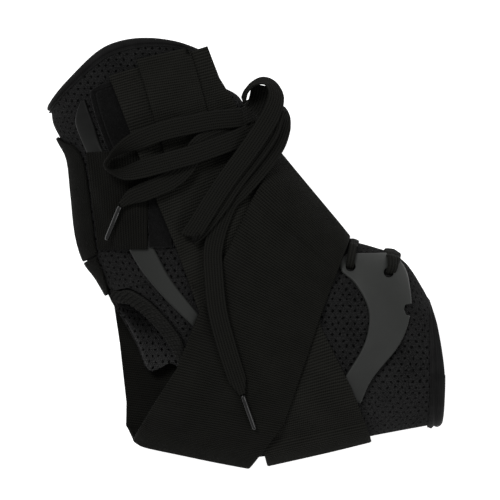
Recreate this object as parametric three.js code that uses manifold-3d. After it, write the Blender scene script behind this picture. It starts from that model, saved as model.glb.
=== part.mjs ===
// A lace-up ankle brace lying on its side: two padded mesh panels, plastic stays and eyelet plates,
// webbing straps that cross over the upper side, and a flat lace. Millimetres, +Z up, leg towards +Y
// and toe towards +X.
import * as THREE from "three";
import { mergeVertices } from "three/addons/utils/BufferGeometryUtils.js";
import Module from "manifold-3d";

const wasm = await Module();
wasm.setup();

// Overall size
const braceLength = 187.3; // heel side to toe rim
const braceHeight = 202.6; // sole to cuff rim

// Padded form
const upperBulge = 28; // height of the upper side over the rim line
const lowerBulge = 20; // depth of the lower side under the rim line
const upperRound = 34; // how far in from the rim the upper side stops rising
const lowerRound = 22;
const panelWall = 3.5;
const seamGap = 0.5; // between the two panels along the back and the sole
const slitHalfWidth = 8; // half of the opening down the front
const tongueThickness = 3;
const tongueGap = 1.1;
const tongueAngle = 34; // degrees that the tongue reaches either way from the front line
const bindingThickness = 4.3;
const seamShare = 0.12; // the part of a binding's width left free as its seam
const elasticThickness = 4;
const gatherDepth = 0.6;
const gatherCount = 11;

// Straps, plates and lace
const webbing = 1.5; // thickness of the webbing straps
const plate = 1.6; // thickness of the plastic stays and plates
const padThickness = 1.6;
const bandThickness = 1.4;
const layerGap = 0.7; // clearance between layers that lie on each other
const drapeMargin = 4.5; // an upper layer stays lifted this far past the edge of a lower one
const drapeFall = 9; // and then falls back over this length
const stiffShare = 0.3; // the share of the rounding that a strap's edge bridges, being too stiff to follow it
const eyeletRadius = 2.3;
const eyeletSides = 12;
const laceWidth = 9;
const laceThickness = 1.4;
const crossWidth = 5;
const agletLength = 17;
const agletRadius = 1.5;
const agletSides = 10;
const tipShare = 0.3; // the share of its width that a lace keeps where an aglet grips it
const agletBore = 0.8; // the share of the aglet's radius that the lace fills

// Heights worked out from the layers under the lower side
const lowerStack = webbing + layerGap + plate + layerGap;
const rimHeight = lowerStack + lowerBulge;

const x = (share) => (share - 0.5) * braceLength;
const y = (share) => (share - 0.5) * braceHeight;
const flat = (row, name) => new THREE.Vector2(x(row[name + "X"]), y(row[name + "Y"]));

// Front rim line, from the cuff to the toe, as shares of the length and the height
const frontRim = [
  { atX: 0.400, atY: 0.977 },
  { atX: 0.408, atY: 0.963 },
  { atX: 0.428, atY: 0.930 },
  { atX: 0.448, atY: 0.896 },
  { atX: 0.496, atY: 0.868 },
  { atX: 0.533, atY: 0.805 },
  { atX: 0.576, atY: 0.729 },
  { atX: 0.664, atY: 0.629 },
  { atX: 0.754, atY: 0.529 },
  { atX: 0.807, atY: 0.515 },
  { atX: 0.862, atY: 0.501 },
  { atX: 0.910, atY: 0.476 },
  { atX: 0.937, atY: 0.445 },
  { atX: 0.962, atY: 0.401 },
  { atX: 0.970, atY: 0.392 },
];

// Back rim line, from the cuff down the back, round the heel and along the sole to the toe
const backRim = [
  { atX: 0.004, atY: 0.842 },
  { atX: 0.011, atY: 0.826 },
  { atX: 0.026, atY: 0.796 },
  { atX: 0.046, atY: 0.759 },
  { atX: 0.069, atY: 0.717 },
  { atX: 0.077, atY: 0.636 },
  { atX: 0.087, atY: 0.543 },
  { atX: 0.104, atY: 0.480 },
  { atX: 0.132, atY: 0.439 },
  { atX: 0.167, atY: 0.374 },
  { atX: 0.182, atY: 0.288 },
  { atX: 0.192, atY: 0.195 },
  { atX: 0.207, atY: 0.125 },
  { atX: 0.242, atY: 0.067 },
  { atX: 0.388, atY: 0.039 },
  { atX: 0.518, atY: 0.019 },
  { atX: 0.543, atY: 0.023 },
  { atX: 0.689, atY: 0.046 },
  { atX: 0.827, atY: 0.072 },
  { atX: 0.962, atY: 0.095 },
  { atX: 0.992, atY: 0.100 },
];

// Ribs of the two panels: where each starts at the front and ends at the back, and its arch
const ribs = [
  { frontX: 0.408, frontY: 0.963, upperX: 0.011, upperY: 0.826, lowerX: 0.011, lowerY: 0.826, arch: 0.070 },
  { frontX: 0.428, frontY: 0.930, upperX: 0.026, upperY: 0.796, lowerX: 0.026, lowerY: 0.796, arch: 0.060 },
  { frontX: 0.448, frontY: 0.896, upperX: 0.046, upperY: 0.759, lowerX: 0.046, lowerY: 0.759, arch: 0.045 },
  { frontX: 0.496, frontY: 0.868, upperX: 0.069, upperY: 0.717, lowerX: 0.069, lowerY: 0.717, arch: 0.028 },
  { frontX: 0.533, frontY: 0.805, upperX: 0.077, upperY: 0.636, lowerX: 0.077, lowerY: 0.636, arch: 0.013 },
  { frontX: 0.576, frontY: 0.729, upperX: 0.087, upperY: 0.543, lowerX: 0.087, lowerY: 0.543, arch: 0 },
  { frontX: 0.634, frontY: 0.664, upperX: 0.104, upperY: 0.480, lowerX: 0.104, lowerY: 0.480, arch: 0 },
  { frontX: 0.694, frontY: 0.596, upperX: 0.132, upperY: 0.439, lowerX: 0.132, lowerY: 0.439, arch: 0 },
  { frontX: 0.754, frontY: 0.529, upperX: 0.164, upperY: 0.413, lowerX: 0.167, lowerY: 0.374, arch: 0 },
  { frontX: 0.779, frontY: 0.522, upperX: 0.207, upperY: 0.418, lowerX: 0.192, lowerY: 0.336, arch: 0 },
  { frontX: 0.807, frontY: 0.515, upperX: 0.262, upperY: 0.390, lowerX: 0.222, lowerY: 0.285, arch: 0 },
  { frontX: 0.834, frontY: 0.508, upperX: 0.312, upperY: 0.346, lowerX: 0.255, lowerY: 0.223, arch: 0 },
  { frontX: 0.862, frontY: 0.501, upperX: 0.355, upperY: 0.288, lowerX: 0.317, lowerY: 0.239, arch: 0 },
  { frontX: 0.890, frontY: 0.490, upperX: 0.383, upperY: 0.195, lowerX: 0.368, lowerY: 0.190, arch: 0 },
  { frontX: 0.910, frontY: 0.476, upperX: 0.400, upperY: 0.102, lowerX: 0.398, lowerY: 0.102, arch: 0 },
  { frontX: 0.925, frontY: 0.462, upperX: 0.423, upperY: 0.035, lowerX: 0.423, lowerY: 0.035, arch: 0 },
  { frontX: 0.937, frontY: 0.445, upperX: 0.543, upperY: 0.023, lowerX: 0.543, lowerY: 0.023, arch: 0 },
  { frontX: 0.947, frontY: 0.429, upperX: 0.689, upperY: 0.046, lowerX: 0.689, lowerY: 0.046, arch: 0 },
  { frontX: 0.957, frontY: 0.413, upperX: 0.827, upperY: 0.072, lowerX: 0.827, lowerY: 0.072, arch: 0 },
  { frontX: 0.962, frontY: 0.401, upperX: 0.962, upperY: 0.095, lowerX: 0.962, lowerY: 0.095, arch: 0 },
];

// Outer rims of the two bindings
const openRims = {
  cuff: {
    frontX: 0.400, frontY: 0.977, upperX: 0.004, upperY: 0.842, lowerX: 0.004, lowerY: 0.842, arch: 0.084,
  },
  toe: {
    frontX: 0.970, frontY: 0.392, upperX: 0.992, upperY: 0.100, lowerX: 0.992, lowerY: 0.100, arch: -0.020,
  },
};

// Heel elastic: its edge along the panel and its free edge, and how many steps lead to each row
const heelElasticRows = [
  { leftX: 0.187, leftY: 0.412, rightX: 0.192, rightY: 0.381 },
  { leftX: 0.210, leftY: 0.413, rightX: 0.210, rightY: 0.379, steps: 3 },
  { leftX: 0.260, leftY: 0.387, rightX: 0.247, rightY: 0.355, steps: 7 },
  { leftX: 0.310, leftY: 0.342, rightX: 0.292, rightY: 0.311, steps: 8 },
  { leftX: 0.351, leftY: 0.285, rightX: 0.327, rightY: 0.262, steps: 8 },
  { leftX: 0.379, leftY: 0.195, rightX: 0.353, rightY: 0.183, steps: 8 },
  { leftX: 0.396, leftY: 0.102, rightX: 0.368, rightY: 0.095, steps: 7 },
];

// Straps and plates: the two rails of each cross row. A fold row lies on the rim line.
const heelStrapRows = [
  { leftX: 0.445, leftY: 0.703, rightX: 0.508, rightY: 0.478, face: "floor" },
  { leftX: 0.493, leftY: 0.712, rightX: 0.639, rightY: 0.508, face: "floor", steps: 2 },
  { leftX: 0.586, leftY: 0.735, rightX: 0.764, rightY: 0.536, face: "fold", steps: 5 },
  { leftX: 0.518, leftY: 0.622, rightX: 0.731, rightY: 0.457, face: "upper", steps: 6 },
  { leftX: 0.450, leftY: 0.490, rightX: 0.694, rightY: 0.369, face: "upper", steps: 5 },
  { leftX: 0.388, leftY: 0.364, rightX: 0.659, rightY: 0.271, face: "upper", steps: 5 },
  { leftX: 0.332, leftY: 0.234, rightX: 0.621, rightY: 0.169, face: "upper", steps: 4 },
  { leftX: 0.282, leftY: 0.162, rightX: 0.598, rightY: 0.109, face: "upper", steps: 3 },
  { leftX: 0.227, leftY: 0.053, rightX: 0.513, rightY: 0.001, face: "fold", steps: 6 },
  { leftX: 0.199, leftY: 0.148, rightX: 0.488, rightY: 0.109, face: "floor", steps: 5 },
  { leftX: 0.182, leftY: 0.288, rightX: 0.468, rightY: 0.265, face: "floor", steps: 1 },
  { leftX: 0.169, leftY: 0.369, rightX: 0.455, rightY: 0.369, face: "floor", steps: 1 },
  { leftX: 0.137, leftY: 0.624, rightX: 0.420, rightY: 0.636, face: "floor", steps: 1 },
  { leftX: 0.124, leftY: 0.861, rightX: 0.395, rightY: 0.875, face: "floor", steps: 1 },
];
const archStrapRows = [
  { leftX: 0.164, leftY: 0.905, rightX: 0.408, rightY: 0.976, face: "upper" },
  { leftX: 0.189, leftY: 0.845, rightX: 0.438, rightY: 0.903, face: "upper", steps: 4 },
  { leftX: 0.222, leftY: 0.763, rightX: 0.478, rightY: 0.842, face: "upper", steps: 4 },
  { leftX: 0.287, leftY: 0.608, rightX: 0.536, rightY: 0.698, face: "upper", steps: 6 },
  { leftX: 0.332, leftY: 0.508, rightX: 0.586, rightY: 0.599, face: "upper", steps: 4 },
  { leftX: 0.388, leftY: 0.364, rightX: 0.641, rightY: 0.455, face: "upper", steps: 6 },
  { leftX: 0.440, leftY: 0.234, rightX: 0.694, rightY: 0.323, face: "upper", steps: 5 },
  { leftX: 0.488, leftY: 0.132, rightX: 0.764, rightY: 0.193, face: "upper", steps: 4 },
  { leftX: 0.543, leftY: 0.060, rightX: 0.799, rightY: 0.114, face: "upper", steps: 3 },
  { leftX: 0.557, leftY: 0.007, rightX: 0.819, rightY: 0.063, face: "fold", steps: 5 },
  { leftX: 0.533, leftY: 0.102, rightX: 0.809, rightY: 0.160, face: "floor", steps: 5 },
  { leftX: 0.521, leftY: 0.253, rightX: 0.797, rightY: 0.288, face: "floor", steps: 1 },
  { leftX: 0.506, leftY: 0.392, rightX: 0.784, rightY: 0.415, face: "floor", steps: 1 },
];
const strapTabRows = [
  { leftX: 0.232, leftY: 0.942, rightX: 0.363, rightY: 0.972, face: "upper" },
  { leftX: 0.252, leftY: 0.884, rightX: 0.385, rightY: 0.903, face: "upper", steps: 5 },
  { leftX: 0.282, leftY: 0.789, rightX: 0.408, rightY: 0.824, face: "upper", steps: 6 },
  { leftX: 0.307, leftY: 0.712, rightX: 0.425, rightY: 0.752, face: "upper", steps: 4 },
];
const cuffStrapRows = [
  { leftX: 0.107, leftY: 0.731, rightX: 0.138, rightY: 0.508, face: "upper" },
  { leftX: 0.147, leftY: 0.732, rightX: 0.167, rightY: 0.508, face: "upper", steps: 3 },
  { leftX: 0.202, leftY: 0.733, rightX: 0.215, rightY: 0.508, face: "upper", steps: 4 },
  { leftX: 0.257, leftY: 0.733, rightX: 0.260, rightY: 0.508, face: "upper", steps: 4 },
];
const cuffHookRows = [
  { leftX: 0.261, leftY: 0.729, rightX: 0.263, rightY: 0.513, face: "upper" },
  { leftX: 0.317, leftY: 0.729, rightX: 0.320, rightY: 0.513, face: "upper", steps: 4 },
];
const stayRows = [
  { leftX: 0.094, leftY: 0.849, rightX: 0.104, rightY: 0.852, face: "upper" },
  { leftX: 0.082, leftY: 0.819, rightX: 0.117, rightY: 0.817, face: "upper", steps: 2 },
  { leftX: 0.082, leftY: 0.791, rightX: 0.128, rightY: 0.789, face: "upper", steps: 2 },
  { leftX: 0.104, leftY: 0.740, rightX: 0.146, rightY: 0.740, face: "upper", steps: 3 },
  { leftX: 0.149, leftY: 0.647, rightX: 0.197, rightY: 0.657, face: "upper", steps: 4 },
  { leftX: 0.220, leftY: 0.497, rightX: 0.280, rightY: 0.503, face: "upper", steps: 6 },
  { leftX: 0.287, leftY: 0.411, rightX: 0.320, rightY: 0.436, face: "upper", steps: 4 },
  { leftX: 0.375, leftY: 0.329, rightX: 0.388, rightY: 0.357, face: "upper", steps: 5 },
];
const loopPadRows = [
  { leftX: 0.112, leftY: 0.879, rightX: 0.202, rightY: 0.903, face: "upper" },
  { leftX: 0.132, leftY: 0.810, rightX: 0.225, rightY: 0.835, face: "upper", steps: 3 },
  { leftX: 0.156, leftY: 0.749, rightX: 0.250, rightY: 0.775, face: "upper", steps: 3 },
  { leftX: 0.179, leftY: 0.703, rightX: 0.270, rightY: 0.726, face: "upper", steps: 2 },
];
const instepRows = [
  { leftX: 0.754, leftY: 0.501, rightX: 0.852, rightY: 0.503, face: "upper" },
  { leftX: 0.737, leftY: 0.480, rightX: 0.887, rightY: 0.483, face: "upper", steps: 2 },
  { leftX: 0.742, leftY: 0.457, rightX: 0.905, rightY: 0.455, face: "upper", steps: 2 },
  { leftX: 0.772, leftY: 0.432, rightX: 0.912, rightY: 0.420, face: "upper", steps: 2 },
  { leftX: 0.802, leftY: 0.385, rightX: 0.915, rightY: 0.383, face: "upper", steps: 3 },
  { leftX: 0.809, leftY: 0.341, rightX: 0.905, rightY: 0.332, face: "upper", steps: 3 },
  { leftX: 0.794, leftY: 0.285, rightX: 0.880, rightY: 0.283, face: "upper", steps: 3 },
  { leftX: 0.752, leftY: 0.220, rightX: 0.817, rightY: 0.211, face: "upper", steps: 3 },
  { leftX: 0.714, leftY: 0.165, rightX: 0.789, rightY: 0.155, face: "upper", steps: 3 },
];
const eyelets = [{ atX: 0.764, atY: 0.469 }, { atX: 0.859, atY: 0.455 }];

// Bands wrapped round the back rim: the rim point and how far each band reaches over either side
const backBandRows = [
  { atX: 0.068, atY: 0.722, reach: 0.033 },
  { atX: 0.074, atY: 0.659, reach: 0.038 },
  { atX: 0.080, atY: 0.589, reach: 0.043 },
  { atX: 0.087, atY: 0.543, reach: 0.045 },
  { atX: 0.100, atY: 0.492, reach: 0.040 },
];
const achillesRows = [
  { atX: 0.105, atY: 0.478, reach: 0.038 },
  { atX: 0.119, atY: 0.457, reach: 0.030 },
  { atX: 0.132, atY: 0.439, reach: 0.023 },
  { atX: 0.152, atY: 0.401, reach: 0.010 },
];

// Strands of lace over the front rim: where each starts on the upper side and ends on the lower side
const laceCrosses = [
  { frontX: 0.512, frontY: 0.842, reach: 0.023, skew: 0.25 },
  { frontX: 0.535, frontY: 0.803, reach: 0.023, skew: 0.25 },
  { frontX: 0.558, frontY: 0.761, reach: 0.023, skew: 0.25 },
  { frontX: 0.779, frontY: 0.522, reach: 0.060, skew: 0.2 },
  { frontX: 0.870, frontY: 0.498, reach: 0.045, skew: 0.25 },
];

// Routes of the two free laces in millimetres: the middle of the lace, its roll in degrees from lying
// flat to standing on edge, and the share of its width that it keeps
const laceLeftRoute = [
  { x: 7.6, y: 79.2, z: 39.5, roll: 0, width: 1 },
  { x: 6.9, y: 75.4, z: 39.2, roll: 0, width: 1 },
  { x: 5.9, y: 71.2, z: 39.6, roll: 0, width: 1 },
  { x: 4.2, y: 67.6, z: 42.2, roll: 5, width: 1 },
  { x: 1.5, y: 65.2, z: 47.5, roll: 10, width: 1 },
  { x: -2.2, y: 63.7, z: 52.5, roll: 0, width: 1 },
  { x: -14, y: 62.3, z: 57.5, roll: 0, width: 1 },
  { x: -25.7, y: 59.9, z: 61.6, roll: 0, width: 1 },
  { x: -37.5, y: 57.1, z: 64.2, roll: 0, width: 1 },
  { x: -46.9, y: 53.8, z: 64.4, roll: 5, width: 1 },
  { x: -56.3, y: 49.6, z: 63.4, roll: 50, width: 1 },
  { x: -62.4, y: 44.9, z: 62.5, roll: 85, width: 1 },
  { x: -64.7, y: 41.1, z: 62.5, roll: 90, width: 1 },
  { x: -62.4, y: 38.6, z: 62.3, roll: 85, width: 1 },
  { x: -56.3, y: 37.4, z: 62.1, roll: 50, width: 1 },
  { x: -46.9, y: 39.7, z: 63.4, roll: 10, width: 1 },
  { x: -35.1, y: 43, z: 64.1, roll: 0, width: 1 },
  { x: -23.4, y: 46.3, z: 62.1, roll: 0, width: 1 },
  { x: -11.6, y: 50.5, z: 59, roll: 0, width: 1 },
  { x: 0.1, y: 55.2, z: 53.3, roll: 0, width: 1 },
  { x: 4.2, y: 57.6, z: 50.9, roll: 0, width: 1 },
  { x: 5.8, y: 58.6, z: 49.1, roll: 0, width: 1 },
  { x: 3.4, y: 58.6, z: 48.1, roll: 0, width: 1 },
  { x: -4.6, y: 57.6, z: 51.5, roll: 0, width: 1 },
  { x: -14.9, y: 54.3, z: 57.4, roll: 0, width: 1 },
  { x: -21, y: 50.5, z: 60, roll: 0, width: 1 },
  { x: -24.8, y: 44.9, z: 59.8, roll: 0, width: 1 },
  { x: -28.6, y: 39.2, z: 59.4, roll: 0, width: 1 },
  { x: -34.2, y: 34.5, z: 60.1, roll: 0, width: 1 },
  { x: -40.8, y: 31.3, z: 61.1, roll: 0, width: 1 },
  { x: -46.9, y: 28.9, z: 59.9, roll: 0, width: 1 },
  { x: -52.5, y: 26.6, z: 58.6, roll: 0, width: 0.8 },
  { x: -57.5, y: 22.8, z: 58, roll: 0, width: tipShare },
];
const laceLongRoute = [
  { x: -0.8, y: 72.1, z: 44.5, roll: 75, width: 1 },
  { x: 0.8, y: 76.2, z: 46, roll: 78, width: 1 },
  { x: 4, y: 79.6, z: 47, roll: 75, width: 1 },
  { x: 8.1, y: 80.9, z: 48, roll: 70, width: 1 },
  { x: 12.8, y: 80.3, z: 49.5, roll: 65, width: 1 },
  { x: 16.4, y: 77.5, z: 51, roll: 50, width: 1 },
  { x: 16.7, y: 73.4, z: 52.9, roll: 35, width: 1 },
  { x: 12.8, y: 66.5, z: 55.3, roll: 15, width: 1 },
  { x: 8.1, y: 58, z: 57.1, roll: 0, width: 1 },
  { x: 0.1, y: 46.3, z: 59.5, roll: 0, width: 1 },
  { x: -7.9, y: 35.5, z: 60.3, roll: 0, width: 1 },
  { x: -15.4, y: 24.2, z: 60.6, roll: 0, width: 1 },
  { x: -22.4, y: 12.9, z: 60.7, roll: 0, width: 1 },
  { x: -25, y: 8.9, z: 59.7, roll: 0, width: 1 },
  { x: -23.4, y: 9.6, z: 58.5, roll: 0, width: 1 },
  { x: -19.6, y: 13.4, z: 58.2, roll: 0, width: 1 },
  { x: -12.6, y: 22.3, z: 58.5, roll: 0, width: 1 },
  { x: -5.1, y: 33.6, z: 58.1, roll: 0, width: 1 },
  { x: 3.1, y: 44.6, z: 56.3, roll: 0, width: 1 },
  { x: 11.3, y: 56.6, z: 53.5, roll: 0, width: 1 },
  { x: 16, y: 64.9, z: 51.7, roll: 30, width: 1 },
  { x: 19.2, y: 68, z: 50.1, roll: 80, width: 1 },
  { x: 21.8, y: 66, z: 49.1, roll: 80, width: 1 },
  { x: 20.8, y: 60.4, z: 48.9, roll: 40, width: 1 },
  { x: 17, y: 51.5, z: 50, roll: 10, width: 1 },
  { x: 8.1, y: 40.2, z: 53.5, roll: 0, width: 1 },
  { x: -2.2, y: 29.8, z: 56.3, roll: 0, width: 1 },
  { x: -7.4, y: 24.6, z: 56.3, roll: 0, width: 1 },
  { x: -10.9, y: 16.7, z: 56.3, roll: 0, width: 1 },
  { x: -13.5, y: 8.7, z: 56.4, roll: 0, width: 1 },
  { x: -14.9, y: 0.6, z: 57.1, roll: 0, width: 1 },
  { x: -14.5, y: -8.8, z: 58.9, roll: 0, width: 1 },
  { x: -12.6, y: -26.6, z: 59.9, roll: 0, width: 1 },
  { x: -7.9, y: -44.4, z: 58.9, roll: 0, width: 1 },
  { x: -3.4, y: -58.4, z: 58.7, roll: 0, width: 0.9 },
  { x: -1.2, y: -64.9, z: 58.8, roll: 0, width: tipShare },
];
const agletLeft = { x: -57.9, y: 22.1, z: 58, headX: -6.4, headY: -15.3, headZ: -3.1 };
const agletLong = { x: -1, y: -65.5, z: 58.8, headX: 5.6, headY: -15.9, headZ: -3.4 };

// Colours
const meshBlack = new THREE.MeshStandardMaterial({ color: 0x17171a, roughness: 0.9 });
const webbingBlack = new THREE.MeshStandardMaterial({ color: 0x161614, roughness: 0.85 });
const satinBlack = new THREE.MeshStandardMaterial({ color: 0x202022, roughness: 0.5 });
const plasticGrey = new THREE.MeshStandardMaterial({ color: 0x34373a, roughness: 0.45 });
const padBlack = new THREE.MeshStandardMaterial({ color: 0x141416, roughness: 1 });
const laceBlack = new THREE.MeshStandardMaterial({ color: 0x1a1a19, roughness: 0.85 });
const agletBlack = new THREE.MeshStandardMaterial({ color: 0x0c0c0e, roughness: 0.2 });

// The rim lines as smooth polylines, run straight on past the open cuff and toe
const rimSteps = 70;
const runOn = 30;

function rimLine(rows, inwardTurn) {
  const spline = new THREE.SplineCurve(rows.map((row) => flat(row, "at")));
  const points = spline.getPoints(rimSteps);
  const first = points[0].clone().sub(points[1]).setLength(runOn).add(points[0]);
  const end = points.length - 1;
  const last = points[end].clone().sub(points[end - 1]).setLength(runOn).add(points[end]);
  const line = [first, ...points, last];
  return line.slice(1).map((b, i) => {
    const a = line[i];
    const along = b.clone().sub(a);
    const length = along.length();
    along.normalize();
    const inward = new THREE.Vector2(-along.y * inwardTurn, along.x * inwardTurn);
    return { a, along, length, inward };
  });
}

const frontLine = rimLine(frontRim, -1);
const backLine = rimLine(backRim, 1);
const rimSegments = [...frontLine, ...backLine];

// Distance in from the nearest rim line, and the direction that leads in from it
function nearestRim(px, py, segments = rimSegments) {
  let best = { distance: Infinity };
  for (const { a, along, length, inward } of segments) {
    const dx = px - a.x;
    const dy = py - a.y;
    const t = THREE.MathUtils.clamp(dx * along.x + dy * along.y, 0, length);
    const ox = dx - along.x * t;
    const oy = dy - along.y * t;
    const distance = Math.hypot(ox, oy);
    if (distance < Math.abs(best.distance)) {
      const side = ox * inward.x + oy * inward.y < 0 ? -1 : 1;
      const lies = distance > 1e-4;
      best = {
        distance: distance * side,
        inX: lies ? (ox / distance) * side : inward.x,
        inY: lies ? (oy / distance) * side : inward.y,
      };
    }
  }
  return best;
}

const sides = {
  upper: { up: 1, bulge: upperBulge, round: upperRound },
  lower: { up: -1, bulge: lowerBulge, round: lowerRound },
};

// A point of the padded form, pushed out of its surface by level
function formPoint(px, py, face, level) {
  const { up, bulge, round } = sides[face];
  const rim = nearestRim(px, py);
  const angle = Math.acos(1 - THREE.MathUtils.clamp(rim.distance / round, 0, 1));
  return new THREE.Vector3(
    px - rim.inX * level * Math.cos(angle),
    py - rim.inY * level * Math.cos(angle),
    rimHeight + up * (bulge + level) * Math.sin(angle),
  );
}

// Height of a layer that lies level outside the form, over a place
function levelHeight(px, py, face, level, bridged = 0) {
  const { up, bulge, round } = sides[face];
  const share = (nearestRim(px, py).distance + level) / (round + level);
  const reach = THREE.MathUtils.clamp(share, bridged, 1);
  const rise = Math.sqrt(1 - (1 - reach) ** 2);
  return rimHeight + up * (bulge * rise + level * (bridged > 0 ? 1 : rise));
}

// A closed body between two grids of points that face each other
function shell(outer, inner) {
  const rows = outer.length;
  const columns = outer[0].length;
  const points = [...outer.flat(), ...inner.flat()];
  const o = (i, j) => i * columns + j;
  const n = (i, j) => (rows + i) * columns + j;
  const faces = [];
  const quad = (a, b, c, d) => faces.push(a, b, c, a, c, d);
  for (let i = 0; i < rows - 1; i++) {
    for (let j = 0; j < columns - 1; j++) {
      quad(o(i, j), o(i + 1, j), o(i + 1, j + 1), o(i, j + 1));
      quad(n(i, j), n(i, j + 1), n(i + 1, j + 1), n(i + 1, j));
    }
    const end = columns - 1;
    quad(o(i + 1, 0), o(i, 0), n(i, 0), n(i + 1, 0));
    quad(o(i, end), o(i + 1, end), n(i + 1, end), n(i, end));
  }
  for (let j = 0; j < columns - 1; j++) {
    const end = rows - 1;
    quad(o(0, j), o(0, j + 1), n(0, j + 1), n(0, j));
    quad(o(end, j + 1), o(end, j), n(end, j), n(end, j + 1));
  }
  return facingOut(points, faces);
}

// Turns the faces outward where the grids were given the other way round
function facingOut(points, faces) {
  let volume = 0;
  for (let f = 0; f < faces.length; f += 3) {
    const [a, b, c] = [points[faces[f]], points[faces[f + 1]], points[faces[f + 2]]];
    volume += a.dot(new THREE.Vector3().crossVectors(b, c));
  }
  if (volume < 0) {
    for (let f = 0; f < faces.length; f += 3) {
      [faces[f + 1], faces[f + 2]] = [faces[f + 2], faces[f + 1]];
    }
  }
  const geometry = new THREE.BufferGeometry();
  geometry.setAttribute("position", new THREE.Float32BufferAttribute(points.flatMap((p) => p.toArray()), 3));
  geometry.setIndex(faces);
  return geometry;
}

// A sheet of even thickness round a grid of points on its middle surface
function sheet(grid, thickness) {
  const rows = grid.length;
  const columns = grid[0].length;
  const shifted = (side) =>
    grid.map((row, i) =>
      row.map((point, j) => {
        const down = grid[Math.min(i + 1, rows - 1)][j].clone().sub(grid[Math.max(i - 1, 0)][j]);
        const across = grid[i][Math.min(j + 1, columns - 1)].clone().sub(grid[i][Math.max(j - 1, 0)]);
        const normal = down.cross(across).normalize();
        return normal.multiplyScalar((side * thickness) / 2).add(point);
      }),
    );
  return shell(shifted(1), shifted(-1));
}

// Places along a rib, closer together near both of its ends
function ribPoints(start, end, arch, steps) {
  const chord = end.clone().sub(start);
  const rise = new THREE.Vector2(chord.y, -chord.x).setLength(arch * braceLength);
  return Array.from({ length: steps + 1 }, (_, k) => {
    const share = (1 - Math.cos((Math.PI * k) / steps)) / 2;
    return start.clone().addScaledVector(chord, share).addScaledVector(rise, 4 * share * (1 - share));
  });
}

// The slit down the front starts each panel a little in from the rim line
function slitEdge(point, face) {
  const { bulge, round } = sides[face];
  const inset = round * (1 - Math.sqrt(1 - (slitHalfWidth / bulge) ** 2));
  const rim = nearestRim(point.x, point.y);
  return new THREE.Vector2(point.x + rim.inX * inset, point.y + rim.inY * inset);
}

const panelSteps = 9;
const ribFill = 1; // ribs added between two rows of the table

function filledRibs() {
  const filled = [];
  ribs.forEach((rib, i) => {
    filled.push(rib);
    if (i === ribs.length - 1) return;
    for (let k = 1; k <= ribFill; k++) {
      const next = ribs[i + 1];
      const share = k / (ribFill + 1);
      const middle = {};
      for (const key of Object.keys(rib)) middle[key] = THREE.MathUtils.lerp(rib[key], next[key], share);
      filled.push(middle);
    }
  });
  return filled;
}

function ribSurface(rib, face, level) {
  const start = slitEdge(flat(rib, "front"), face);
  return ribPoints(start, flat(rib, face), rib.arch, panelSteps).map((p) => formPoint(p.x, p.y, face, level));
}

function panel(face) {
  const halfGap = (sides[face].up * seamGap) / 2;
  const grid = (level) =>
    filledRibs().map((rib) => ribSurface(rib, face, level).map((p) => p.setZ(p.z + halfGap)));
  return shell(grid(0), grid(-panelWall));
}

// A binding round an open rim: over the upper side to the back, and on under the lower side
function binding(seam, rim) {
  const extra = (bindingThickness - panelWall) / 2;
  const ring = (rib, level) => [
    ...ribSurface(rib, "upper", level),
    ...ribSurface(rib, "lower", level).reverse().slice(1),
  ];
  const seat = {};
  for (const key of Object.keys(seam)) seat[key] = THREE.MathUtils.lerp(seam[key], rim[key], seamShare);
  const grid = (level) => [ring(seat, level), ring(rim, level)];
  return shell(grid(extra), grid(-panelWall - extra));
}

function tongue() {
  const tongueRibs = 13;
  const steps = 6;
  const limit = THREE.MathUtils.degToRad(tongueAngle);
  const outerLevel = -panelWall - tongueGap;
  const grid = (level) =>
    filledRibs()
      .filter((rib, i) => i % (ribFill + 1) === 0)
      .slice(0, tongueRibs)
      .map((rib) => {
        const edge = flat(rib, "front");
        const rimPoint = nearestRim(edge.x, edge.y);
        return Array.from({ length: steps + 1 }, (_, k) => {
          const angle = limit * ((2 * k) / steps - 1);
          const face = angle < 0 ? "lower" : "upper";
          const inset = sides[face].round * (1 - Math.cos(angle));
          return formPoint(edge.x + rimPoint.inX * inset, edge.y + rimPoint.inY * inset, face, level);
        });
      });
  return shell(grid(outerLevel), grid(outerLevel - tongueThickness));
}

// A band wrapped round the back rim line
function backWrap(rows, thickness) {
  const steps = 8;
  const grid = (level) =>
    rows.map((row) => {
      const edge = flat(row, "at");
      const rim = nearestRim(edge.x, edge.y, backLine);
      const reach = row.reach * braceLength;
      return Array.from({ length: steps + 1 }, (_, k) => {
        const turn = (2 * k) / steps - 1;
        const face = turn < 0 ? "lower" : "upper";
        const limit = Math.acos(1 - reach / sides[face].round);
        const inset = sides[face].round * (1 - Math.cos(limit * turn)) - rim.distance;
        return formPoint(edge.x + rim.inX * inset, edge.y + rim.inY * inset, face, level);
      });
    });
  return shell(grid(layerGap + thickness), grid(layerGap));
}

// The ruched elastic that carries the upper panel's wall on to the heel opening
function heelElastic() {
  const places = crossRows(heelElasticRows, 2);
  const extra = (elasticThickness - panelWall) / 2;
  const grid = (level, wave) =>
    places.map((row, i) =>
      row.map((p) => {
        const gather = wave * gatherDepth * Math.sin((Math.PI * 2 * gatherCount * i) / (places.length - 1));
        return formPoint(p.x, p.y, "upper", level + gather);
      }),
    );
  return shell(grid(extra, 1), grid(-panelWall - extra, 0));
}

// Straight cross rows between the rows of a table, as flat places
function crossRows(rows, across) {
  const places = [];
  const line = (left, right) =>
    Array.from({ length: across + 1 }, (_, c) => left.clone().lerp(right, c / across));
  rows.forEach((row, r) => {
    if (r === 0) {
      places.push(line(flat(row, "left"), flat(row, "right")));
      return;
    }
    const before = rows[r - 1];
    for (let k = 1; k <= row.steps; k++) {
      const left = flat(before, "left").lerp(flat(row, "left"), k / row.steps);
      const right = flat(before, "right").lerp(flat(row, "right"), k / row.steps);
      places.push(line(left, right));
    }
  });
  return places;
}

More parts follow.
